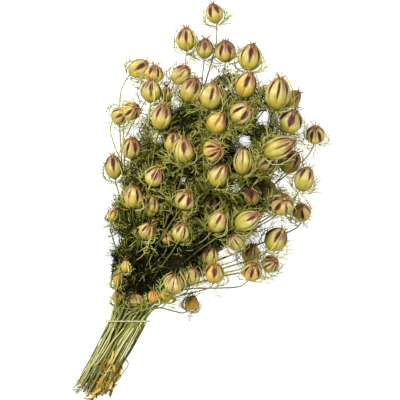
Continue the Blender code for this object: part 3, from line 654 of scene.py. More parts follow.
@functools.lru_cache(maxsize=None)
def leaf_cover():
    """How close the leaves stand, from 0 to 1, on a grid of cells seen from above."""
    outline = np.array([pixel_place(x, y)[:2] for x, y in LEAFY_OUTLINE])
    rows = [COVER_FROM[k] + COVER_CELL * (np.arange(COVER_CELLS[k]) + 0.5) for k in (0, 1)]
    x, y = np.meshgrid(*rows, indexing="ij")
    spots = np.stack([x, y], axis=-1)
    inside = np.zeros(x.shape, bool)
    reach = np.full(x.shape, np.inf)
    for a, b in zip(outline, np.roll(outline, -1, axis=0)):
        span = b - a
        share = ((spots - a) @ span / (span @ span)).clip(0, 1)
        reach = np.minimum(reach, np.linalg.norm(spots - a - share[..., None] * span, axis=-1))
        if a[1] != b[1]:
            crosses = ((y < a[1]) != (y < b[1])) & (x < a[0] + (y - a[1]) * span[0] / span[1])
            inside ^= crosses
    cover = eased(np.where(inside, reach, -reach), *LEAF_EDGE)
    for px, py, radius in LEAF_HOLES:
        away = np.linalg.norm(spots - pixel_place(px, py)[:2], axis=-1) - radius * PIXEL
        cover = np.minimum(cover, eased(away, 0, HOLE_EDGE))
    return cover


def cover_at(points):
    """How close the leaves stand at each place."""
    cells = ((np.asarray(points)[:, :2] - COVER_FROM) / COVER_CELL).astype(int)
    cells = cells.clip(0, np.array(COVER_CELLS) - 1)
    return leaf_cover()[cells[:, 0], cells[:, 1]]


# Nodes and materials.

def linear(code):
    """An sRGB hex colour as linear red, green and blue."""
    parts = (int(code[k:k + 2], 16) / 255 for k in (1, 3, 5))
    return tuple(c / 12.92 if c <= 0.04045 else ((c + 0.055) / 1.055) ** 2.4 for c in parts)


def add(tree, kind, links=None, out=0, stops=(), **settings):
    """Adds a node with its settings and links, and returns one of its outputs.

    Each entry of links is an input's name or number, and the value or output that it gets. Stops are a
    colour ramp's places and colours.
    """
    node = tree.nodes.new(kind)
    for name, value in settings.items():
        setattr(node, name, value)
    for key, value in (links or {}).items():
        if isinstance(value, bpy.types.NodeSocket):
            tree.links.new(value, node.inputs[key])
        else:
            node.inputs[key].default_value = value
    if stops:
        elements = node.color_ramp.elements
        while len(elements) < len(stops):
            elements.new(1.0)
        for element, (place, colour) in zip(elements, stops):
            element.position = place
            element.color = (*colour, 1)
    return node.outputs[out] if len(node.outputs) else None


def new_material(name):
    """A material with nodes, its tree and its shader."""
    material = bpy.data.materials.new(name)
    material.use_nodes = True
    tree = material.node_tree
    return material, tree, tree.nodes["Principled BSDF"]


def capsule_material(colours):
    """Papery seed capsule, dried on the plant. Bleached straw walls that stay green at the foot, broad dark
    maroon bands along the seams, a flush of maroon below the tip of some lobes, an orange star of seams at
    the top, and a soft dry sheen with fine veins."""
    material, tree, shader = new_material("papery_capsule")
    far, rise, lobe, seam, key, banding, gold, age = (
        add(tree, "ShaderNodeAttribute", out="Fac", attribute_name=name)
        for name in ("far", "rise", "lobe", "seam", "key", "banding", "gold", "age"))
    lobe = add(tree, "ShaderNodeMath", {0: lobe}, operation="ROUND")
    seam = add(tree, "ShaderNodeMath", {0: seam}, operation="ROUND")
    key = add(tree, "ShaderNodeMath", {0: key}, operation="ROUND")
    lobe_key = add(tree, "ShaderNodeCombineXYZ", {0: lobe, 1: key, 2: 1.0})
    seam_key = add(tree, "ShaderNodeCombineXYZ", {0: seam, 1: key, 2: 2.0})
    lobe_dice = add(tree, "ShaderNodeTexWhiteNoise", {0: lobe_key}, noise_dimensions="3D")
    seam_dice = add(tree, "ShaderNodeTexWhiteNoise", {0: seam_key}, noise_dimensions="3D")

    # Blotches about 6 mm across, a grain about 1.4 mm across, and veins that climb each lobe.
    place = add(tree, "ShaderNodeTexCoord", out="Object")
    mottle = add(tree, "ShaderNodeTexNoise", {"Vector": place, "Scale": 160.0, "Detail": 3.0})
    fine = add(tree, "ShaderNodeTexNoise", {"Vector": place, "Scale": 700.0, "Detail": 2.0})
    across = add(tree, "ShaderNodeMath", {0: far, 1: 5.0}, operation="MULTIPLY")
    climb = add(tree, "ShaderNodeMath", {0: rise, 1: 1.2}, operation="MULTIPLY")
    each = add(tree, "ShaderNodeMath", {0: key, 1: 57.0, 2: lobe}, operation="MULTIPLY_ADD")
    vein_place = add(tree, "ShaderNodeCombineXYZ", {0: across, 1: climb, 2: each})
    vein = add(tree, "ShaderNodeTexNoise", {"Vector": vein_place, "Scale": 3.0, "Detail": 4.0})

    wall = add(tree, "ShaderNodeValToRGB", {0: rise}, stops=(
        (0.0, colours.pod_foot), (0.30, colours.pod_low), (0.60, colours.pod_wall), (1.0, colours.pod_high)))
    share = add(tree, "ShaderNodeMapRange", {0: mottle, 1: 0.40, 2: 0.64, 4: 0.7})
    wall = add(tree, "ShaderNodeMix", {0: share, 6: wall, 7: (*colours.pod_ochre, 1)}, 2, data_type="RGBA")
    share = add(tree, "ShaderNodeMapRange", {0: vein, 1: 0.48, 2: 0.66, 4: 0.6})
    wall = add(tree, "ShaderNodeMix", {0: share, 6: wall, 7: (*colours.pod_vein, 1)}, 2, data_type="RGBA")
    share = add(tree, "ShaderNodeMath", {0: gold, 1: 0.8}, operation="MULTIPLY")
    wall = add(tree, "ShaderNodeMix", {0: share, 6: wall, 7: (*colours.pod_gold, 1)}, 2, data_type="RGBA")

    # The flush lies along the middle of a lobe and fades downwards.
    low = add(tree, "ShaderNodeMapRange", {0: rise, 1: 0.40, 2: 0.86}, interpolation_type="SMOOTHSTEP")
    middle = add(tree, "ShaderNodeMapRange", {0: far, 1: 0.62, 2: 0.10}, interpolation_type="SMOOTHSTEP")
    some = add(tree, "ShaderNodeMapRange", {0: lobe_dice, 1: 0.25, 2: 0.55})
    share = add(tree, "ShaderNodeMath", {0: low, 1: middle}, operation="MULTIPLY")
    share = add(tree, "ShaderNodeMath", {0: share, 1: some}, operation="MULTIPLY")
    wall = add(tree, "ShaderNodeMix", {0: share, 6: wall, 7: (*colours.pod_flush, 1)}, 2, data_type="RGBA")

    # A band is widest near the top, and tapers to a point near the foot.
    foot = add(tree, "ShaderNodeMapRange", {0: seam_dice, 1: 0.2, 2: 0.9, 3: 0.0, 4: 0.36})
    grown_wide = add(tree, "ShaderNodeMapRange", {0: rise, 1: foot, 2: 0.78}, interpolation_type="SMOOTHSTEP")
    wide = add(tree, "ShaderNodeMapRange", {0: seam_dice, 1: 0.0, 2: 0.8, 3: 0.38, 4: 0.80})
    wide = add(tree, "ShaderNodeMath", {0: wide, 1: banding}, operation="MULTIPLY")
    wide = add(tree, "ShaderNodeMath", {0: wide, 1: grown_wide}, operation="MULTIPLY")
    edge = add(tree, "ShaderNodeMath", {0: 1.03, 1: wide}, operation="SUBTRACT")
    past = add(tree, "ShaderNodeMath", {0: far, 1: edge}, operation="SUBTRACT")
    uneven = add(tree, "ShaderNodeMapRange", {0: vein, 1: 0.25, 2: 0.75, 3: -0.22, 4: 0.22})
    past = add(tree, "ShaderNodeMath", {0: past, 1: uneven}, operation="ADD")
    band = add(tree, "ShaderNodeMapRange", {0: past, 1: 0.0, 2: 0.11}, interpolation_type="SMOOTHSTEP")
    deep = add(tree, "ShaderNodeMath", {0: seam_dice, 1: 0.3, 2: vein}, operation="MULTIPLY_ADD")
    tint = add(tree, "ShaderNodeMath", {0: past, 1: -0.35, 2: deep}, operation="MULTIPLY_ADD")
    band_colour = add(tree, "ShaderNodeValToRGB", {0: tint}, stops=(
        (0.36, colours.band_dark), (0.56, colours.band), (0.76, colours.band_light)))
    wall = add(tree, "ShaderNodeMix", {0: band, 6: wall, 7: band_colour}, 2, data_type="RGBA")

    # The seam itself stays pale in some bands, and turns orange where the seams meet as a star.
    ridge = add(tree, "ShaderNodeMapRange", {0: far, 1: 0.90, 2: 0.97}, interpolation_type="SMOOTHSTEP")
    some = add(tree, "ShaderNodeMapRange", {0: seam_dice, 1: 0.22, 2: 0.06, 4: 0.8})
    share = add(tree, "ShaderNodeMath", {0: ridge, 1: some}, operation="MULTIPLY")
    wall = add(tree, "ShaderNodeMix", {0: share, 6: wall, 7: (*colours.pod_seam, 1)}, 2, data_type="RGBA")
    cap = add(tree, "ShaderNodeMapRange", {0: rise, 1: 0.86, 2: 0.95, 4: 0.75})
    wall = add(tree, "ShaderNodeMix", {0: cap, 6: wall, 7: (*colours.band, 1)}, 2, data_type="RGBA")
    ray = add(tree, "ShaderNodeMapRange", {0: far, 1: 0.62, 2: 0.82}, interpolation_type="SMOOTHSTEP")
    near_top = add(tree, "ShaderNodeMapRange", {0: rise, 1: 0.80, 2: 0.92}, interpolation_type="SMOOTHSTEP")
    middle = add(tree, "ShaderNodeMapRange", {0: rise, 1: 0.965, 2: 0.985})
    star = add(tree, "ShaderNodeMath", {0: ray, 1: near_top}, operation="MULTIPLY")
    star = add(tree, "ShaderNodeMath", {0: star, 1: middle}, operation="MAXIMUM")
    wall = add(tree, "ShaderNodeMix", {0: star, 6: wall, 7: (*colours.pod_star, 1)}, 2, data_type="RGBA")
    # Painted shade: a pod that lies on the table under the heap is darkened towards a dark olive-brown.
    share = add(tree, "ShaderNodeMath", {0: age, 1: 0.75}, operation="MULTIPLY")
    wall = add(tree, "ShaderNodeMix", {0: share, 6: wall, 7: (*colours.pod_painted_shade, 1)}, 2, data_type="RGBA")
    tree.links.new(wall, shader.inputs["Base Color"])

    rough = add(tree, "ShaderNodeMapRange", {0: fine, 3: 0.42, 4: 0.64})
    tree.links.new(rough, shader.inputs["Roughness"])
    shader.inputs["Specular IOR Level"].default_value = 0.3
    height = add(tree, "ShaderNodeMath", {0: band, 1: -0.6, 2: vein}, operation="MULTIPLY_ADD")
    height = add(tree, "ShaderNodeMath", {0: ridge, 1: 0.9, 2: height}, operation="MULTIPLY_ADD")
    height = add(tree, "ShaderNodeMath", {0: fine, 1: 0.3, 2: height}, operation="MULTIPLY_ADD")
    bump = add(tree, "ShaderNodeBump", {"Strength": 0.6, "Distance": 0.0008, "Height": height})
    tree.links.new(bump, shader.inputs["Normal"])
    return material


def thread_material(name, dark, middle, light, rough):
    """Dry leaf tissue, shrunk to threads or curls. Each thread has its own tone between dark olive and pale
    straw, with cloudy patches and a bleached tip, and hardly any sheen. In the leaf threads the tone also
    carries painted shade, darker deep in the bunch."""
    material, tree, shader = new_material(name)
    tone, tip = (add(tree, "ShaderNodeAttribute", out="Fac", attribute_name=key) for key in ("tone", "tip"))
    place = add(tree, "ShaderNodeTexCoord", out="Object")
    # Patches about 20 mm across, as dye and light leave them.
    patch = add(tree, "ShaderNodeTexNoise", {"Vector": place, "Scale": 45.0, "Detail": 2.0})
    mixed = add(tree, "ShaderNodeMath", {0: patch, 1: 0.26}, operation="MULTIPLY")
    mixed = add(tree, "ShaderNodeMath", {0: tone, 1: 0.72, 2: mixed}, operation="MULTIPLY_ADD")
    mixed = add(tree, "ShaderNodeMath", {0: tip, 1: 0.12, 2: mixed}, operation="MULTIPLY_ADD")
    colour = add(tree, "ShaderNodeValToRGB", {0: mixed}, stops=((0.12, dark), (0.45, middle), (0.86, light)))
    tree.links.new(colour, shader.inputs["Base Color"])
    shader.inputs["Roughness"].default_value = rough
    shader.inputs["Specular IOR Level"].default_value = 0.1
    return material


def straw_material(colours):
    """Herbaceous stem, dried whole. Ribs bleached to straw with olive grooves, long streaks along the fibres,
    green patches, and a brown cut end."""
    material, tree, shader = new_material("dried_stem_straw")
    around = add(tree, "ShaderNodeAttribute", out="Vector", attribute_name="around")
    metres, tone, along = (
        add(tree, "ShaderNodeAttribute", out="Fac", attribute_name=name)
        for name in ("metres", "tone", "along"))
    side = add(tree, "ShaderNodeSeparateXYZ", {0: around}, "X")
    other_side = add(tree, "ShaderNodeSeparateXYZ", {0: around}, "Y")
    own = add(tree, "ShaderNodeMath", {0: tone, 1: 31.0, 2: side}, operation="MULTIPLY_ADD")
    # A streak is about 16 mm long and a fifth of the stem wide. A green patch is about 20 mm long.
    length = add(tree, "ShaderNodeMath", {0: metres, 1: 28.0}, operation="MULTIPLY")
    streak_place = add(tree, "ShaderNodeCombineXYZ", {0: own, 1: other_side, 2: length})
    streak = add(tree, "ShaderNodeTexNoise", {"Vector": streak_place, "Scale": 2.2, "Detail": 4.0})
    patch_place = add(tree, "ShaderNodeCombineXYZ", {0: own, 1: length, 2: 0.0})
    patch = add(tree, "ShaderNodeTexNoise", {"Vector": patch_place, "Scale": 1.6, "Detail": 2.0})
    straw = add(tree, "ShaderNodeValToRGB", {0: streak}, stops=(
        (0.32, colours.stem_dark), (0.50, colours.stem), (0.66, colours.stem_light)))
    share = add(tree, "ShaderNodeMapRange", {0: tone, 1: 0.35, 2: 0.75, 4: 0.75})
    straw = add(tree, "ShaderNodeMix", {0: share, 6: straw, 7: (*colours.stem_dark, 1)}, 2, data_type="RGBA")
    share = add(tree, "ShaderNodeMapRange", {0: patch, 1: 0.42, 2: 0.62, 4: 0.5})
    straw = add(tree, "ShaderNodeMix", {0: share, 6: straw, 7: (*colours.stem_green, 1)}, 2, data_type="RGBA")
    share = add(tree, "ShaderNodeMapRange", {0: along, 1: 0.12, 2: 0.0, 4: 0.6})
    straw = add(tree, "ShaderNodeMix", {0: share, 6: straw, 7: (*colours.stem_brown, 1)}, 2, data_type="RGBA")
    share = add(tree, "ShaderNodeMapRange", {0: along, 1: 0.45, 2: 0.95, 4: 0.4})
    straw = add(tree, "ShaderNodeMix", {0: share, 6: straw, 7: (*colours.stem_green, 1)}, 2, data_type="RGBA")
    tree.links.new(straw, shader.inputs["Base Color"])
    shader.inputs["Roughness"].default_value = 0.55
    shader.inputs["Specular IOR Level"].default_value = 0.25
    bump = add(tree, "ShaderNodeBump", {"Strength": 0.5, "Distance": 0.0004, "Height": streak})
    tree.links.new(bump, shader.inputs["Normal"])
    return material


# Meshes from lines, by geometry nodes.

def in_frame(points):
    """Places of the layout, in millimetres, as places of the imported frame, in metres."""
    return np.asarray(points, float) * MM + ORIGIN


def new_piece(name, mesh):
    """An object at the origin that holds the mesh."""
    obj = bpy.data.objects.new(name, mesh)
    bpy.context.scene.collection.objects.link(obj)
    return obj


def new_tree(name, sockets):
    """A geometry tree with named inputs, and their outputs inside the tree by name."""
    tree = bpy.data.node_groups.new(name, "GeometryNodeTree")
    tree.is_modifier = True
    for title, kind in sockets:
        tree.interface.new_socket(title, in_out="INPUT", socket_type="NodeSocket" + kind)
    tree.interface.new_socket("Result", in_out="OUTPUT", socket_type="NodeSocketGeometry")
    return tree, tree.nodes.new("NodeGroupInput").outputs


def run_tree(obj, tree, inputs):
    """Runs a tree on the object, with inputs by name, and keeps the result as its plain mesh."""
    modifier = obj.modifiers.new(tree.name, "NODES")
    modifier.node_group = tree
    for item in tree.interface.items_tree:
        if item.item_type == "SOCKET" and item.in_out == "INPUT" and item.name in inputs:
            modifier[item.identifier] = inputs[item.name]
    graph = bpy.context.evaluated_depsgraph_get()
    mesh = bpy.data.meshes.new_from_object(obj.evaluated_get(graph))
    obj.modifiers.clear()
    old = obj.data
    obj.data = mesh
    bpy.data.meshes.remove(old)
    mesh.name = obj.name
    if not len(mesh.polygons):
        raise RuntimeError(f"{obj.name} came out empty")


def line_tree(name, ridged):
    """A tree that lays a tube along every line, as thick as the line's own thickness says."""
    tree, given = new_tree(name, (
        ("Lines", "Geometry"), ("Sides", "Int"), ("Rib Depth", "Float"), ("Thickness", "Float"),
        ("Flatness", "Float"), ("Finish", "Material")))
    if ridged:
        groove = add(tree, "ShaderNodeMath", {0: 1.0, 1: given["Rib Depth"]}, operation="SUBTRACT")
        profile = add(tree, "GeometryNodeCurveStar", {
            "Points": given["Sides"], "Inner Radius": groove, "Outer Radius": 1.0})
    else:
        profile = add(tree, "GeometryNodeCurvePrimitiveCircle", {"Resolution": given["Sides"], "Radius": 1.0})
    place = add(tree, "GeometryNodeInputPosition")
    profile = add(tree, "GeometryNodeStoreNamedAttribute", {
        "Geometry": profile, "Name": "around", "Value": place}, data_type="FLOAT_VECTOR", domain="POINT")
    flat = add(tree, "ShaderNodeCombineXYZ", {0: 1.0, 1: given["Flatness"], 2: 1.0})
    profile = add(tree, "GeometryNodeTransform", {"Geometry": profile, "Scale": flat})
    thick = add(tree, "GeometryNodeInputNamedAttribute", {"Name": "thick"}, data_type="FLOAT")
    thick = add(tree, "ShaderNodeMath", {0: thick, 1: given["Thickness"]}, operation="MULTIPLY")
    lines = add(tree, "GeometryNodeMeshToCurve", {0: given["Lines"]})
    tubes = add(tree, "GeometryNodeCurveToMesh", {
        "Curve": lines, "Profile Curve": profile, "Scale": thick, "Fill Caps": True})
    tubes = add(tree, "GeometryNodeSetShadeSmooth", {0: tubes})
    tubes = add(tree, "GeometryNodeRealizeInstances", {0: tubes})
    tubes = add(tree, "GeometryNodeSetMaterial", {"Geometry": tubes, "Material": given["Finish"]})
    add(tree, "NodeGroupOutput", {0: tubes})
    return tree


class Lines:
    """Lines to lay tubes along, each with its thickness and tone."""

    def __init__(self):
        self.points, self.edges = [], []
        self.values = {"thick": [], "along": [], "metres": [], "tone": [], "tip": []}

    def add_line(self, points, thicks, tone):
        """A line in millimetres. Its tip counts up from 0 at the start to 1 at the end."""
        points = np.asarray(points, float)
        first = len(self.points)
        steps = np.concatenate([[0], np.linalg.norm(np.diff(points, axis=0), axis=1).cumsum()])
        self.points.extend(points)
        self.edges.extend((first + k, first + k + 1) for k in range(len(points) - 1))
        share = steps / max(steps[-1], 1e-9)
        for name, row in (("thick", np.asarray(thicks) * MM), ("along", share), ("metres", steps * MM),
                          ("tone", np.full(len(points), tone)), ("tip", share)):
            self.values[name].extend(row)

    def as_mesh(self, name):
        mesh = bpy.data.meshes.new(name)
        mesh.from_pydata(in_frame(self.points).tolist(), self.edges, [])
        for title, row in self.values.items():
            mesh.attributes.new(title, "FLOAT", "POINT").data.foreach_set("value", np.array(row, np.float32))
        return mesh


def tubes(name, lines, finish, sides, slot="dried_nigella", nodes=(), ribs=0.0, thickness=1.0, flatness=1.0):
    """A piece of tubes along the lines, hung on the one body, with the solids that it stands for hidden."""
    piece = new_piece(name, lines.as_mesh(name))
    run_tree(piece, line_tree(name + "_along_lines", ribs > 0), {
        "Sides": sides, "Rib Depth": ribs, "Thickness": thickness, "Flatness": flatness, "Finish": finish})
    hang(piece, slot, nodes)


def hang(piece, slot, nodes=()):
    """Hangs a finished piece on the one body, and hides the solids that it stands for."""
    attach(piece, "root")
    if nodes:
        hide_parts(*nodes)


# Curves that stems and threads follow.

def unit(vector):
    return vector / np.linalg.norm(vector)


def square_to(way, turn):
    """The unit vector square to a way, turned about it."""
    side = np.cross(way, (0.0, 0.0, 1.0))
    side = unit(side) if np.linalg.norm(side) > 0.1 else np.array((1.0, 0.0, 0.0))
    return math.cos(turn) * side + math.sin(turn) * np.cross(way, side)


def any_side(way, dice):
    """A unit vector square to a way, turned about it at random."""
    return square_to(way, dice.uniform(0, math.tau))


def smooth(points, radii, per_step):
    """More points along a line, on a curve through all of its own, with radii to match."""
    points, radii = np.asarray(points, float), np.asarray(radii, float)
    ends = np.vstack([2 * points[0] - points[1], points, 2 * points[-1] - points[-2]])
    placed, sizes = [], []
    for k in range(len(points) - 1):
        p0, p1, p2, p3 = ends[k:k + 4]
        for t in np.arange(per_step) / per_step:
            placed.append(0.5 * (2 * p1 + (p2 - p0) * t + (2 * p0 - 5 * p1 + 4 * p2 - p3) * t**2
                                 + (3 * p1 - p0 - 3 * p2 + p3) * t**3))
            sizes.append(radii[k] + (radii[k + 1] - radii[k]) * t)
    return np.array(placed + [points[-1]]), np.array(sizes + [radii[-1]])


def curl(start, way, length, bend, side, steps):
    """A line that starts along way and turns towards side by bend radians over its length."""
    points = [start]
    for k in range(steps):
        turn = bend * (k + 0.5) / steps
        points.append(points[-1] + (math.cos(turn) * way + math.sin(turn) * side) * length / steps)
    return np.array(points)


def above_table(points, radius):
    """The line, lifted where it would go lower than its own radius above the table."""
    points = np.array(points)
    points[:, 2] = np.maximum(points[:, 2], radius)
    return points


def in_box(points):
    """Whether a line stays inside the part's own box, with a little spill at its sides."""
    placed = in_frame(points)
    low, high = np.array(CAD_BOX)
    beside = (placed[:, :2] > low[:2] - SPILL).all() and (placed[:, :2] < high[:2] + SPILL).all()
    return beside and (placed[:, 2] < high[2] + SPILL / 2).all()


@functools.lru_cache(maxsize=None)
def pod_cores():
    """The ends of the lines that the pods' roundness is measured from, and the pods' radii."""
    pods, _, _ = grown()
    low, high = (np.array(side) for side in zip(*(pod.core() for pod in pods)))
    return low, high, np.array([pod.radius for pod in pods])


@functools.lru_cache(maxsize=None)
def high_stems():
    """The middles of the steps of the stems that lie high near the tie."""
    spots = []
    for points, _, _, _ in stem_lines():
        for place in (points[1:] + points[:-1]) / 2:
            lies_high = place[2] > CLEAR_SHARE * heap_height(place[0], place[1])
            if lies_high and LEAFY_FROM < place[1] < CLEAR_UNTIL:
                spots.append(place)
    return np.array(spots)


def is_free(points):
    """Whether a thread keeps out of every pod, and hides neither a pod nor a high stem from above."""
    low, high, radii = pod_cores()
    points = np.asarray(points)
    span = high - low
    share = ((points[:, None] - low) * span).sum(2) / (span * span).sum(1)
    gap = points[:, None] - low - share.clip(0, 1)[:, :, None] * span
    if (np.linalg.norm(gap, axis=2) < radii * POD_TOUCH).any():
        return False
    flat = np.linalg.norm(gap[:, :, :2], axis=2)
    if ((flat < radii * POD_SHOWS) & (gap[:, :, 2] > 0) & (gap[:, :, 2] < POD_ABOVE)).any():
        return False
    over = points[:, None] - high_stems()
    beside = np.linalg.norm(over[:, :, :2], axis=2)
    return not ((beside < CLEAR_WIDTH) & (over[:, :, 2] > 0) & (over[:, :, 2] < CLEAR_ABOVE)).any()


def stem_lines():
    """Each stem's and branch's smooth line with its radii, whether it is a main stem, and its pod."""
    _, web, _ = grown()
    for number, (ids, _, pod) in enumerate(web.lines):
        is_main = number < len(STEMS)
        points = [web.points[i] for i in ids[:-1]] + [pod.base + pod.axis]
        radii = [web.radii[i] for i in ids]
        if not is_main:
            radii[0] = BRANCH_RADIUS
        yield (*smooth(points, radii, 7), is_main, pod)


def stem_nodes():
    """The names of the solids that hold the stems and the pods."""
    return [name for name in frame["nodes"] if name.startswith("stem_")]


# The pieces.

class NIGELLA_OT_stems(bpy.types.Operator):
    """Lays ribbed straw along every stem and side branch"""

    bl_idname = "nigella.stems"
    bl_label = "Stems and Branches"

    def execute(self, context):
        dice = random.Random(SEED + 1)
        lines = Lines()
        for points, radii, _, _ in stem_lines():
            stray = np.array([[dice.gauss(0, STEM_STRAY) for _ in range(3)] for _ in points])
            stray[0] = stray[-1] = 0
            stout = dice.uniform(*STEM_STOUT)
            bumpy = radii * stout * np.array([dice.uniform(*STEM_BUMPS) for _ in radii])
            lines.add_line(points + stray, bumpy, dice.random())
        finish = straw_material(context.scene.nigella_colours)
        tubes("stems", lines, finish, 5, nodes=stem_nodes(), ribs=context.scene.nigella_sizes.rib_depth)
        return {"FINISHED"}


def pod_template(name, lobes, per_lobe, rings, groove):
    """One lobed pod of radius 1 and length 1 that stands on the origin.

    Its points know how far they are from their lobe's middle (0) to its seams (1), how high they are, and
    which lobe and which seam they are nearest.
    """
    mesh = bmesh.new()
    far, rise, lobe_id, seam_id = (
        mesh.verts.layers.float.new(key) for key in ("far", "rise", "lobe", "seam"))
    count = lobes * per_lobe
    loops = []
    for ring in range(rings):
        v = POD_FOOT + (1 - POD_FOOT) * ring / rings
        body = math.sin(math.pi * v ** POD_WIDEST) ** POD_FULL
        height = v - SHOULDER_SINK * max(0.0, (v - SHOULDER_FROM) / 0.1) ** 2
        loop = []
        for k in range(count):
            lobe, step = divmod(k, per_lobe)
            u = 2 * step / per_lobe - 1
            dent = 1 - groove * abs(u) ** GROOVE_POWER * min(1.0, v / GROOVE_RISE)
            turn = math.tau * (k / count - 0.25) - math.pi / lobes
            vert = mesh.verts.new((body * dent * math.cos(turn), body * dent * math.sin(turn), height))
            vert[far], vert[rise], vert[lobe_id] = abs(u), v, float(lobe)
            vert[seam_id] = float((lobe + (u > 0)) % lobes)
            loop.append(vert)
        loops.append(loop)
    tip = mesh.verts.new((0, 0, POD_NAVEL))
    tip[rise] = 1.0
    for low, high in zip(loops, loops[1:]):
        for k in range(count):
            n = (k + 1) % count
            mesh.faces.new((low[k], low[n], high[n], high[k]))
    for k in range(count):
        mesh.faces.new((loops[-1][k], loops[-1][(k + 1) % count], tip))
    mesh.faces.new(reversed(loops[0]))
    for face in mesh.faces:
        face.smooth = True
    data = bpy.data.meshes.new(name)
    mesh.to_mesh(data)
    mesh.free()
    return bpy.data.objects.new(name, data)


def pod_tree():
    """A tree that sets a pod of the right number of lobes on every point."""
    tree, given = new_tree("pods_on_points", (
        ("Points", "Geometry"), ("Pods", "Collection"), ("Fullness", "Float"), ("Finish", "Material")))
    kinds = add(tree, "GeometryNodeCollectionInfo", {
        "Collection": given["Pods"], "Separate Children": True, "Reset Children": True})
    turn = add(tree, "GeometryNodeInputNamedAttribute", {"Name": "turn"}, data_type="QUATERNION")
    size = add(tree, "GeometryNodeInputNamedAttribute", {"Name": "size"}, data_type="FLOAT_VECTOR")
    size = add(tree, "ShaderNodeVectorMath", {0: size, "Scale": given["Fullness"]}, operation="SCALE")
    kind = add(tree, "GeometryNodeInputNamedAttribute", {"Name": "kind"}, data_type="INT")
    pods = add(tree, "GeometryNodeInstanceOnPoints", {
        "Points": given["Points"], "Instance": kinds, "Pick Instance": True, "Instance Index": kind,
        "Rotation": turn, "Scale": size})
    pods = add(tree, "GeometryNodeRealizeInstances", {0: pods})
    pods = add(tree, "GeometryNodeSetMaterial", {"Geometry": pods, "Material": given["Finish"]})
    add(tree, "NodeGroupOutput", {0: pods})
    return tree


def pod_axes(pod):
    """The three directions of a pod: two across it, the first of them level, and one along it."""
    z = pod.axis
    x = np.cross((0.0, 0.0, 1.0), z) if abs(z[2]) < 0.9 else np.array((1.0, 0.0, 0.0))
    x = unit(x)
    return x, np.cross(z, x), z


class NIGELLA_OT_pods(bpy.types.Operator):
    """Sets a papery lobed seed pod on the end of every stem and branch"""

    bl_idname = "nigella.pods"
    bl_label = "Seed Pods"

    def execute(self, context):
        sizes = context.scene.nigella_sizes
        pods, _, _ = grown()
        dice = random.Random(SEED + 2)
        fewest = min(LOBES)
        kinds = bpy.data.collections.new("pod_kinds")
        for lobes in range(fewest, max(LOBES) + 1):
            template = pod_template(f"pod_{lobes}_lobes", lobes, POD_POINTS, POD_RINGS, sizes.groove)
            kinds.objects.link(template)
        mesh = bpy.data.meshes.new("pods")
        mesh.from_pydata(in_frame([pod.base for pod in pods]).tolist(), [], [])
        turns = [Matrix(np.array(pod_axes(pod)).T.tolist()).to_quaternion() for pod in pods]
        scales = [(pod.radius * MM, pod.radius * MM, pod.length * MM) for pod in pods]
        golden = [
            GOLDEN.get(tuple(pod.centre[:2].round().astype(int)), dice.random() ** GOLD_POWER * GOLD_MOST)
            for pod in pods]
        banding = [NEAR_TIE_BANDS if pod.near_tie else dice.uniform(*BANDS) for pod in pods]
        for title, kind, field, row in (
            ("turn", "QUATERNION", "value", turns),
            ("size", "FLOAT_VECTOR", "vector", scales),
            ("kind", "INT", "value", [pod.lobes - fewest for pod in pods]),
            ("key", "FLOAT", "value", [pod.number for pod in pods]),
            ("banding", "FLOAT", "value", banding),
            ("gold", "FLOAT", "value", golden),
            # Painted shade on the pods that lie on the table under the heap.
            ("age", "FLOAT", "value", [float(pod.rests) for pod in pods]),
        ):
            numbers = np.array(row, np.int32 if kind == "INT" else np.float32).ravel()
            mesh.attributes.new(title, kind, "POINT").data.foreach_set(field, numbers)
        piece = new_piece("pods", mesh)
        finish = capsule_material(context.scene.nigella_colours)
        run_tree(piece, pod_tree(), {"Pods": kinds, "Fullness": sizes.fullness, "Finish": finish})
        for template in list(kinds.objects):
            bpy.data.objects.remove(template)
        bpy.data.collections.remove(kinds)
        # The pods that lie on the table are pressed flat where they touch it.
        for vertex in piece.data.vertices:
            vertex.co.z = max(vertex.co.z, 0.0)
        hang(piece, "dried_nigella", stem_nodes())
        return {"FINISHED"}


class NIGELLA_OT_beaks(bpy.types.Operator):
    """Draws each lobe of a pod out into a slim dry beak"""

    bl_idname = "nigella.beaks"
    bl_label = "Beaks"

    def execute(self, context):
        pods, _, _ = grown()
        dice = random.Random(SEED + 3)
        lines = Lines()
        for pod in pods:
            x, y, z = pod_axes(pod)
            for k in range(pod.lobes):
                turn = math.tau * (k / pod.lobes - 0.25) + dice.uniform(-0.1, 0.1)
                out = math.cos(turn) * x + math.sin(turn) * y
                start = pod.base + z * pod.length * BEAK_ROOT[0] + out * pod.radius * BEAK_ROOT[1]
                way = unit(z + out * dice.uniform(*BEAK_LEAN))
                length = BEAK_RISE * dice.uniform(*BEAK_LENGTHS)
                points = curl(start, way, length, dice.uniform(*BEAK_BEND), out, len(BEAK_THICKS) - 1)
                lines.add_line(above_table(points, BEAK_FLOOR), BEAK_THICKS, dice.random())
        colours = context.scene.nigella_colours
        finish = thread_material("dry_beak", colours.beak_dark, colours.beak, colours.beak_light, 0.6)
        tubes("beaks", lines, finish, 5)
        return {"FINISHED"}


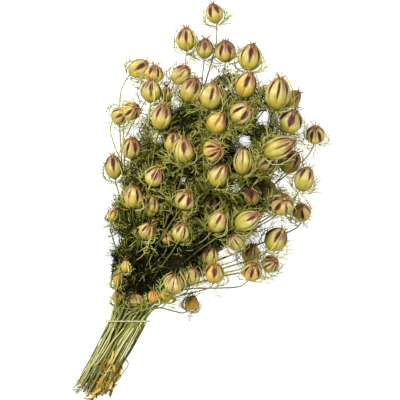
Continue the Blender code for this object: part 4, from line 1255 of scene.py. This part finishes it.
class NIGELLA_OT_bracts(bpy.types.Operator):
    """Curls divided bracts up round every pod"""

    bl_idname = "nigella.bracts"
    bl_label = "Bracts Round the Pods"

    def execute(self, context):
        sizes = context.scene.nigella_sizes
        pods, _, _ = grown()
        dice = random.Random(SEED + 5)
        lines = Lines()
        for pod in pods:
            for k in range(sizes.bracts):
                out = square_to(pod.axis, math.tau * (k + dice.uniform(*BRACT_TURN)) / sizes.bracts)
                if out[2] > BRACT_HIDES and dice.random() < BRACT_LOST:
                    continue
                line = bract_line(pod, out, dice)
                if not in_box(line):
                    continue
                tone = dice.uniform(*BRACT_TONES)
                stout = NEAR_TIE_BRACT if pod.near_tie else 1.0
                lines.add_line(line, stout * np.linspace(*BRACT_THICKS, len(line)), tone)
                for side in bract_sides(pod, out, line, dice):
                    if in_box(side) and is_free(side):
                        lines.add_line(side, np.linspace(*BRACT_SIDE_THICKS, len(side)), tone)
        colours = context.scene.nigella_colours
        finish = thread_material("dry_bract", colours.bract_dark, colours.bract, colours.bract_light, 0.65)
        tubes("bracts", lines, finish, 3, thickness=sizes.thread_thickness)
        return {"FINISHED"}


def bract_line(pod, out, dice):
    """A bract's rib, from just below the pod round its side towards its top."""
    start = pod.base - pod.axis * dice.uniform(*BRACT_DROP)
    wide = pod.radius * dice.uniform(*BRACT_WIDTHS)
    tall = pod.length * dice.uniform(*BRACT_HEIGHTS)
    line = []
    for share in np.linspace(0, 1, 7):
        swell = math.sin(math.pi * min(share * 0.9 + 0.02, 1.0) ** 0.75) ** 0.8
        up = tall * share ** 1.15 - 1.5 * swell * (1 - share)
        line.append(start + out * (0.6 + wide * swell) + pod.axis * up)
    return above_table(line, BRACT_FLOOR)


def bract_sides(pod, out, line, dice):
    """The side threads of a bract, in pairs along its rib."""
    for j in (1, 2, 3, 4):
        onward = unit(line[j + 1] - line[j])
        for sign in (1, -1):
            if dice.random() < BRACT_SIDE_LOST:
                continue
            sideways = np.cross(pod.axis, out) * sign
            aside, outward = dice.uniform(*BRACT_SIDE_LEAN), dice.uniform(*BRACT_SIDE_OUT)
            way = unit(onward + sideways * aside + out * outward)
            length = pod.length * dice.uniform(*BRACT_SIDE_LENGTHS)
            yield above_table(curl(line[j], way, length, dice.uniform(*SIDE_BEND), out, 3), BRACT_FLOOR)


def frond(root, way, size, dice):
    """The threads of one divided leaf: a middle one, side threads in pairs, and small forks on them."""
    spine = curl(root, way, size, dice.uniform(*SPINE_BEND), any_side(way, dice), 3)
    yield spine
    plane = any_side(way, dice)
    for k in (0, 1, 2):
        onward = unit(spine[k + 1] - spine[k])
        start = spine[k] + (spine[k + 1] - spine[k]) * dice.uniform(*SIDE_START)
        for sign in (1, -1):
            out = unit(onward + sign * plane * dice.uniform(*SIDE_LEAN))
            length = size * dice.uniform(*SIDE_LENGTHS) * (1.0 - SIDE_SHORTER * k)
            turn = any_side(out, dice)
            side = curl(start, out, length, dice.uniform(*SIDE_BEND), turn, 2)
            yield side
            if dice.random() < FORK_CHANCE:
                fork = unit(unit(side[2] - side[1]) + any_side(out, dice) * 0.7)
                yield curl(side[1], fork, length * FORK_LENGTH, 0.5, turn, 1)


def leaf_roots():
    """Every place along the stems that a leaf may grow from: its two ends, and how likely it is there."""
    rows = []
    for points, _, _, _ in stem_lines():
        middle = (points[1:] + points[:-1]) / 2
        steps = np.linalg.norm(np.diff(points, axis=0), axis=1)
        likely = steps * cover_at(middle) * (middle[:, 1] > LEAFY_FROM)
        rows += list(zip(points[:-1], points[1:], likely))
    return rows


def pick_root(rows, chances, dice):
    """A random place on a random step of the stems, and the direction of growth there."""
    a, b, _ = rows[min(int(np.searchsorted(chances, dice.random())), len(rows) - 1)]
    return a + (b - a) * dice.random(), unit(b - a)


class NIGELLA_OT_foliage(bpy.types.Operator):
    """Fills the bunch with thread-like divided leaves along its stems, above a mat of older ones, darkened
    deep down by painted shade
    """

    bl_idname = "nigella.foliage"
    bl_label = "Thread-Like Leaves"

    def execute(self, context):
        sizes = context.scene.nigella_sizes
        colours = context.scene.nigella_colours
        dice = random.Random(SEED + 4)
        rows = leaf_roots()
        chances = np.array([row[2] for row in rows]).cumsum()
        chances /= chances[-1]
        fresh = [Lines() for _ in range(LEAF_PARTS)]
        for number in range(sizes.leaves):
            root, onward = pick_root(rows, chances, dice)
            share = root[2] / heap_height(root[0], root[1])
            bare = root[1] < BARE_UNTIL and root[0] > BARE_FROM
            if bare and dice.random() < sizes.bareness:
                continue
            way = unit(onward * dice.uniform(0.6, 1.6) + any_side(onward, dice))
            length = sizes.leaf_length / MM * dice.uniform(*LEAF_LENGTHS)
            # Painted shade: a leaf that lies deep in the bunch is darker, and one that lies high in it
            # lighter.
            tone = min(max(0.9 * share + dice.uniform(-0.5, 0.35), 0.0), 1.0)
            lines = fresh[number % LEAF_PARTS]
            self.add_leaf(lines, frond(root, way, length, dice), LEAF_THICKS, tone, dice)
        self.add_nests(fresh[0], sizes.leaf_length / MM, dice)
        # The mat of older leaves is near black: their own darker colour, deepened into painted shade for the
        # inside of the bunch.
        mat = [Lines() for _ in range(MAT_PARTS)]
        for number in range(sizes.old_leaves):
            root, onward = pick_root(rows, chances, dice)
            if root[0] < BARE_FROM and root[1] < BARE_UNTIL and dice.random() < MAT_THINNED:
                continue
            way = unit(onward * 0.4 + any_side(onward, dice) * 0.9 + np.array((0, 0, -0.8)))
            length = sizes.leaf_length / MM * dice.uniform(*MAT_LENGTHS)
            leaf = frond(root, way, length, dice)
            parts = [points for points in leaf if cover_at(points).min() > MAT_COVER]
            self.add_leaf(mat[number % MAT_PARTS], parts, MAT_THICKS, dice.uniform(0, 0.35), dice)
        finish = thread_material("dry_leaf", colours.leaf_dark, colours.leaf, colours.leaf_light, 0.7)
        for number, lines in enumerate(fresh, 1):
            tubes(f"leaf_threads_{number}", lines, finish, 3, thickness=sizes.thread_thickness)
        finish = thread_material("old_leaf", colours.old_leaf_painted_shade_dark, colours.old_leaf, colours.leaf, 0.8)
        for number, lines in enumerate(mat, 1):
            tubes(f"old_leaves_{number}", lines, finish, 3, thickness=sizes.thread_thickness)
        return {"FINISHED"}

    def add_leaf(self, lines, threads, thicks, tone, dice):
        """Keeps those of a leaf's threads that have room."""
        for points in threads:
            points = above_table(points, thicks[0])
            if cover_at(points).min() < 0.7 * dice.random() or not in_box(points) or not is_free(points):
                continue
            shade = min(max(tone + dice.uniform(-0.15, 0.15), 0.0), 1.0)
            lines.add_line(points, np.linspace(*thicks, len(points)), shade)

    def add_nests(self, lines, length, dice):
        """A few short leaves below every pod."""
        pods, _, _ = grown()
        for pod in pods:
            for _ in range(NEST_LEAVES):
                root = pod.base - pod.axis * dice.uniform(0.5, 5)
                way = unit(pod.axis * dice.uniform(-0.6, 0.8) + any_side(pod.axis, dice))
                for points in frond(root, way, length * dice.uniform(*NEST_LENGTHS), dice):
                    points = above_table(points, 0.3)
                    if in_box(points) and is_free(points):
                        thicks = np.linspace(*NEST_THICKS, len(points))
                        lines.add_line(points, thicks, dice.uniform(0.4, 0.9))


class NIGELLA_OT_dead_leaves(bpy.types.Operator):
    """Leaves curled dead leaves, a dry tendril and thin bare shoots among the cut ends"""

    bl_idname = "nigella.dead_leaves"
    bl_label = "Dead Leaves at the Cut Ends"

    def execute(self, context):
        dice = random.Random(SEED + 6)
        _, web, places = grown()
        colours = context.scene.nigella_colours
        leaves, shoots = Lines(), Lines()
        for ids, stem, _ in web.lines[:len(STEMS)]:
            if places[stem][0] > DEAD_SIDE:
                for _ in range(DEAD_LEAVES):
                    self.add_dead_leaf(leaves, web.points[ids[0]], web.points[ids[1]], dice)
            if places[stem][0] < ROOT_SIDE:
                self.add_rootlets(shoots, web.points[ids[0]], dice)
            for _ in range(SHOOTS):
                self.add_shoot(shoots, [web.points[i] for i in ids[:TAIL_STEPS + 5]], dice)
        tails = [[web.points[i] for i in ids[:TAIL_STEPS + 1]] for ids, _, _ in web.lines[:len(STEMS)]]
        for _ in range(CROSSINGS):
            self.add_crossing(shoots, *dice.sample(tails, 2), dice)
        line, _ = smooth([pixel_place(*spot) for spot in TENDRIL], [1] * len(TENDRIL), 5)
        shoots.add_line(line, np.linspace(*TENDRIL_THICKS, len(line)), 0.3)
        finish = thread_material(
            "curled_dead_leaf", colours.dead_dark, colours.dead, colours.dead_light, 0.75)
        tubes("dead_leaves", leaves, finish, 8, flatness=0.22)
        finish = thread_material(
            "dry_bare_shoot", colours.shoot_dark, colours.shoot, colours.shoot_light, 0.65)
        tubes("bare_shoots", shoots, finish, 6)
        return {"FINISHED"}

    def add_dead_leaf(self, lines, low, high, dice):
        """A flat leaf that has curled up as it died."""
        root = low + (high - low) * dice.uniform(0.1, 1.25) + np.array((0, 0, dice.uniform(0.5, 2.0)))
        onward = unit(high - low) * dice.choice((-1, 1))
        way = unit(onward + np.array((dice.uniform(-0.7, 0.4), 0, dice.uniform(0.0, 0.4))))
        length, bend = dice.uniform(*DEAD_LENGTHS), dice.uniform(*DEAD_BEND)
        line = above_table(curl(root, way, length, bend, any_side(way, dice), len(DEAD_WIDTHS) - 1), 0.8)
        if in_box(line) and line[:, 0].max() < max(low[0], high[0]) + DEAD_STRAY:
            lines.add_line(line, dice.uniform(0.8, 1.4) * np.array(DEAD_WIDTHS), dice.uniform(0.0, 0.8))

    def add_shoot(self, lines, guide, dice):
        """A thin leafless shoot that wanders between the stems."""
        first = dice.randrange(0, 3)
        guide = guide[first:first + dice.randrange(3, 6)]
        beside = np.array((dice.uniform(-1.8, 1.8), 0, dice.uniform(0.2, 1.6)))
        points = [point + beside + [dice.gauss(0, 0.8) for _ in range(3)] for point in guide]
        line, _ = smooth(points, [1] * len(points), 5)
        line = above_table(line, 0.7)
        if in_box(line):
            lines.add_line(line, np.linspace(*SHOOT_THICKS, len(line)), dice.random())

    def add_rootlets(self, lines, start, dice):
        """A few hair-like rootlets that fork beyond a cut end."""
        for _ in range(ROOTLETS):
            way = unit(np.array((dice.uniform(-0.5, 0.3), -1.0, dice.uniform(-0.3, 0.1))))
            length, bend = dice.uniform(*ROOTLET_LENGTHS), dice.uniform(0.2, 1.2)
            main = above_table(curl(start, way, length, bend, any_side(way, dice), 5), 0.4)
            fork = unit(unit(main[3] - main[2]) + any_side(way, dice) * 0.6)
            length = dice.uniform(*ROOTLET_FORKS)
            fine = above_table(curl(main[2], fork, length, 0.8, any_side(fork, dice), 3), 0.3)
            for points, thick in ((main, 0.38), (fine, 0.26)):
                if in_box(points):
                    lines.add_line(points, np.linspace(thick, 0.14, len(points)), dice.uniform(0.0, 0.6))

    def add_crossing(self, lines, one, other, dice):
        """A thin stem on top of the others, from one stem's cut end to another's place at the tie."""
        points = np.array([
            one[0] + (0, dice.uniform(-4, 8), 3.0), (one[1] + other[1]) / 2, one[2] * 0.3 + other[2] * 0.7,
            other[3] - (0, 3.0, 0)])
        points[1:, 2] = max(place[2] for place in one + other) + CROSSING_RISE
        line, thicks = smooth(points, CROSSING_THICKS, 6)
        lines.add_line(above_table(line, CROSSING_THICKS[0]), thicks, dice.random())


def tie_places():
    """The middle of the strand round all the stems, closed, and the lowest, highest and outermost of it."""
    _, _, places = grown()
    gap = STEM_RADIUS + FIT_GAP + TIE_RADIUS
    half = max(abs(x) for x, _, _ in places.values())
    low = min(z for _, z, _ in places.values())
    high = max(z for _, z, _ in places.values())
    line = []
    for x, z, start in ((half, low, -90), (half, high, 0), (-half, high, 90), (-half, low, 180)):
        for k in range(7):
            turn = math.radians(start + 15 * k)
            at = x + gap * math.cos(turn)
            line.append(np.array((at, at * TIE_SLANT, z + gap * math.sin(turn))))
    return line, low, high, half + gap


class NIGELLA_OT_tie(bpy.types.Operator):
    """Winds the pale strand round the stems and knots it at the left"""

    bl_idname = "nigella.tie"
    bl_label = "Tie"

    def execute(self, context):
        line, low, high, reach = tie_places()
        ring = []
        for a, b in zip(line, line[1:] + line[:1]):
            count = max(2, round(np.linalg.norm(b - a) / PLY_STEP))
            ring += [a + (b - a) * k / count for k in range(count)]
        lines = Lines()
        middle = sum(line) / len(line)
        for ply in range(PLIES):
            placed = []
            for k, place in enumerate(ring + ring[:1]):
                turn = math.tau * (k / len(ring) * PLY_TWISTS + ply / PLIES)
                out = unit((place - middle) * (0.1, 0, 1))
                placed.append(place + PLY_OUT * (math.cos(turn) * out + math.sin(turn) * np.array((0, 1, 0))))
            lines.add_line(placed, [PLY_RADIUS] * len(placed), 0.3 + 0.2 * ply)
        centre = np.array((-reach - KNOT_OUT, -reach * TIE_SLANT, (high + low) / 2))
        for ply in range(PLIES):
            loop = []
            for turn in np.linspace(0, math.tau, 17):
                across, along = 0.75 * math.cos(turn) - 0.1, 1.25 * math.sin(turn) * math.cos(ply)
                loop.append(centre + (across, along, 1.1 * math.sin(turn + ply)))
            lines.add_line(loop, [KNOT_PLY_RADIUS] * len(loop), 0.4 + 0.15 * ply)
        for way in (1, -1):
            for ply in (0, 1):
                start = centre + (0, 0.5 * way, 0.3 * way)
                middle = start + (-1.6, 3.0 * way, 1.2 * way) + 0.4 * ply
                end = start + (-1.8, (6.5 - 2 * ply) * way, 0.8 * way)
                points, thicks = smooth([start, middle, end], END_THICKS, 6)
                lines.add_line(points, thicks, 0.6)
        colours = context.scene.nigella_colours
        finish = thread_material("raffia_strand", colours.tie_dark, colours.tie, colours.tie_light, 0.7)
        tubes("tie_strand", lines, finish, 6, slot="pale_strand", nodes=["tie"])
        return {"FINISHED"}


class NIGELLA_OT_stage(bpy.types.Operator):
    """Lays the white table, and sets the soft lights and the camera above it"""

    bl_idname = "nigella.stage"
    bl_label = "Table, Lights and Camera"

    def execute(self, context):
        scene = context.scene
        mesh = bpy.data.meshes.new("table")
        corners = [(x * TABLE_HALF, y * TABLE_HALF, 0) for x, y in ((-1, -1), (1, -1), (1, 1), (-1, 1))]
        mesh.from_pydata(corners, [], [(0, 1, 2, 3)])
        table = new_piece("table", mesh)
        # A white board lit from behind, which stays white in the bunch's shadow.
        material, _, shader = new_material("backlit_white_board")
        shader.inputs["Base Color"].default_value = (0.4, 0.4, 0.4, 1)
        shader.inputs["Roughness"].default_value = 0.9
        shader.inputs["Emission Color"].default_value = (1, 1, 1, 1)
        shader.inputs["Emission Strength"].default_value = TABLE_GLOW
        mesh.materials.append(material)

        world = bpy.data.worlds.new("soft_studio")
        world.use_nodes = True
        sky = world.node_tree.nodes["Background"]
        sky.inputs["Color"].default_value = (1, 1, 1, 1)
        sky.inputs["Strength"].default_value = SKY_STRENGTH
        scene.world = world
        scene.view_settings.view_transform = "Standard"

        turn = math.radians(CAMERA_TURN)
        right = Vector((math.cos(turn), math.sin(turn), 0))
        up = Vector((-math.sin(turn), math.cos(turn), 0))
        target = Vector(in_frame((CAMERA_ACROSS, CAMERA_ALONG, CAMERA_HEIGHT)))
        for name, ((rightwards, upwards, above), size, power) in (("key", KEY_LIGHT), ("fill", FILL_LIGHT)):
            data = bpy.data.lights.new(name, "AREA")
            data.size = size
            data.energy = power
            lamp = bpy.data.objects.new(name, data)
            scene.collection.objects.link(lamp)
            place = rightwards * right + upwards * up + Vector((0, 0, above))
            lamp.location = target + place
            lamp.rotation_mode = "QUATERNION"
            lamp.rotation_quaternion = (-place).to_track_quat("-Z", "Y")
            lamp.visible_camera = False

        camera = bpy.data.cameras.new("camera")
        camera.sensor_width = SENSOR
        camera.lens = SENSOR * CAMERA_DISTANCE / FRAME_WIDTH
        camera.clip_end = 100
        holder = bpy.data.objects.new("camera", camera)
        scene.collection.objects.link(holder)
        holder.location = target + Vector((0, 0, CAMERA_DISTANCE))
        holder.rotation_euler = (0, 0, turn)
        scene.camera = holder
        return {"FINISHED"}


# The settings, the panel and the run.

def colour(name, description, code):
    """A colour setting whose default is an sRGB hex colour."""
    return bpy.props.FloatVectorProperty(
        name=name, description=description, subtype="COLOR", size=3, min=0, max=1, default=linear(code))


class NigellaSizes(bpy.types.PropertyGroup):
    groove: bpy.props.FloatProperty(
        name="Groove Depth", description="How far the seams between a pod's lobes are sunk, of its radius",
        default=0.15, min=0.0, max=0.5, subtype="FACTOR")
    fullness: bpy.props.FloatProperty(
        name="Pod Fullness", description="How large the pods are, against the part's own",
        default=1.0, min=0.5, max=1.1, subtype="FACTOR")
    rib_depth: bpy.props.FloatProperty(
        name="Rib Depth", description="How far the grooves of a stem are sunk, as a share of its radius",
        default=0.16, min=0.01, max=0.5, subtype="FACTOR")
    leaves: bpy.props.IntProperty(
        name="Leaves", description="How many divided leaves fill the bunch", default=3700, min=1, max=6000)
    old_leaves: bpy.props.IntProperty(
        name="Old Leaves", description="How many older leaves make the mat below",
        default=1700, min=1, max=4000)
    leaf_length: bpy.props.FloatProperty(
        name="Leaf Length", description="The usual length of a divided leaf",
        default=0.026, min=0.005, max=0.08, unit="LENGTH")
    bareness: bpy.props.FloatProperty(
        name="Bareness Near the Tie", description="How many of the leaves near the tie have dropped",
        default=0.9, min=0.0, max=1.0, subtype="FACTOR")
    thread_thickness: bpy.props.FloatProperty(
        name="Thread Thickness", description="How thick the leaf threads are, against real ones",
        default=1.0, min=0.3, max=3.0, subtype="FACTOR")
    bracts: bpy.props.IntProperty(
        name="Bracts", description="How many divided bracts stand round each pod", default=9, min=0, max=12)


class NigellaColours(bpy.types.PropertyGroup):
    pod_foot: colour("Pod Foot", "Green foot of a pod", "#928c20")
    pod_low: colour("Pod Low Wall", "Wall of a pod a third of the way up", "#bcb046")
    pod_wall: colour("Pod Wall", "Bleached wall of a pod", "#d5c77e")
    pod_high: colour("Pod High Wall", "Wall of a pod near its top", "#dec792")
    pod_ochre: colour("Pod Blotches", "Darker blotches on a pod's wall", "#a98f38")
    pod_vein: colour("Pod Veins", "Fine veins of a pod's wall", "#958a34")
    pod_gold: colour("Golden Pod", "Wall of a pod that dried golden", "#d99f24")
    pod_flush: colour("Pod Flush", "Maroon flush below the tip of a lobe", "#7e483a")
    pod_seam: colour("Pod Seam", "Pale ridge of a seam", "#cbae6a")
    pod_star: colour("Pod Star", "Where the seams meet at the top", "#c08a45")
    # The colour that darkens the pods lying on the table under the heap: painted shade.
    pod_painted_shade: colour("Old Pod", "Wall of a pod that lies under the others", "#4a4018")
    band_dark: colour("Dark Band", "Darkest of a pod's bands", "#230c05")
    band: colour("Band", "Usual colour of a pod's bands", "#4a2212")
    band_light: colour("Light Band", "Lightest of a pod's bands", "#7f4a40")
    beak_dark: colour("Dark Beak", "Darkest of the beaks", "#3c3212")
    beak: colour("Beak", "Usual colour of the beaks", "#7d6428")
    beak_light: colour("Light Beak", "Lightest of the beaks", "#bf9a4e")
    bract_dark: colour("Dark Bract", "Darkest of the bracts", "#5c5e20")
    bract: colour("Bract", "Usual colour of the bracts", "#98983e")
    bract_light: colour("Light Bract", "Lightest of the bracts", "#d6ce80")
    leaf_dark: colour("Dark Leaf", "Darkest of the leaf threads", "#1f230a")
    leaf: colour("Leaf", "Usual colour of the leaf threads", "#70721d")
    leaf_light: colour("Light Leaf", "Lightest of the leaf threads", "#cbc865")
    # The old leaves' colours are near black: painted shade deep in the bunch, on top of the old leaves' own
    # darker colour.
    old_leaf_painted_shade_dark: colour("Dark Old Leaf", "Darkest of the old leaves", "#0e1005")
    old_leaf: colour("Old Leaf", "Usual colour of the old leaves", "#25290c")
    stem_dark: colour("Stem Groove", "Dark streaks of a stem", "#50541c")
    stem: colour("Stem", "Usual colour of a stem", "#9c9c4c")
    stem_light: colour("Stem Rib", "Bleached streaks of a stem", "#e2dc9a")
    stem_green: colour("Green Stem", "Green patches and stalks", "#767e2e")
    stem_brown: colour("Cut Stem", "Cut end of a stem", "#7d6030")
    dead_dark: colour("Dark Dead Leaf", "Darkest of the dead leaves", "#6a4416")
    dead: colour("Dead Leaf", "Usual colour of the dead leaves", "#9c7a2a")
    dead_light: colour("Light Dead Leaf", "Lightest of the dead leaves", "#dcbc60")
    shoot_dark: colour("Dark Shoot", "Darkest of the bare shoots", "#3f4218")
    shoot: colour("Shoot", "Usual colour of the bare shoots", "#88893c")
    shoot_light: colour("Light Shoot", "Lightest of the bare shoots", "#d2ce98")
    tie_dark: colour("Dark Strand", "Darkest of the tie's plies", "#8f8a50")
    tie: colour("Strand", "Usual colour of the tie's plies", "#bdb87c")
    tie_light: colour("Light Strand", "Lightest of the tie's plies", "#e6e2b8")


class NIGELLA_PT_panel(bpy.types.Panel):
    """Lists the sizes, the colours and the pieces"""

    bl_idname = "NIGELLA_PT_panel"
    bl_label = "Nigella Bunch"
    bl_space_type = "VIEW_3D"
    bl_region_type = "UI"
    bl_category = "Nigella"

    def draw(self, context):
        for settings in (context.scene.nigella_sizes, context.scene.nigella_colours):
            for name in type(settings).__annotations__:
                self.layout.prop(settings, name)
        for operator in OPERATORS:
            self.layout.operator(operator.bl_idname)


OPERATORS = (
    NIGELLA_OT_stage, NIGELLA_OT_stems, NIGELLA_OT_pods, NIGELLA_OT_beaks, NIGELLA_OT_bracts,
    NIGELLA_OT_foliage, NIGELLA_OT_dead_leaves, NIGELLA_OT_tie,
)
CLASSES = (NigellaSizes, NigellaColours, *OPERATORS, NIGELLA_PT_panel)


def register():
    for item in CLASSES:
        bpy.utils.register_class(item)
    bpy.types.Scene.nigella_sizes = bpy.props.PointerProperty(type=NigellaSizes)
    bpy.types.Scene.nigella_colours = bpy.props.PointerProperty(type=NigellaColours)


def unregister():
    del bpy.types.Scene.nigella_colours
    del bpy.types.Scene.nigella_sizes
    for item in reversed(CLASSES):
        bpy.utils.unregister_class(item)


def main():
    for obj in list(bpy.data.objects):
        if obj.type in ("LIGHT", "CAMERA"):
            bpy.data.objects.remove(obj)
    register()
    bpy.ops.nigella.stage()
    bpy.ops.nigella.stems()
    bpy.ops.nigella.pods()
    bpy.ops.nigella.beaks()
    bpy.ops.nigella.bracts()
    bpy.ops.nigella.foliage()
    bpy.ops.nigella.dead_leaves()
    bpy.ops.nigella.tie()
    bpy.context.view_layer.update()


if __name__ == "__main__":
    main()
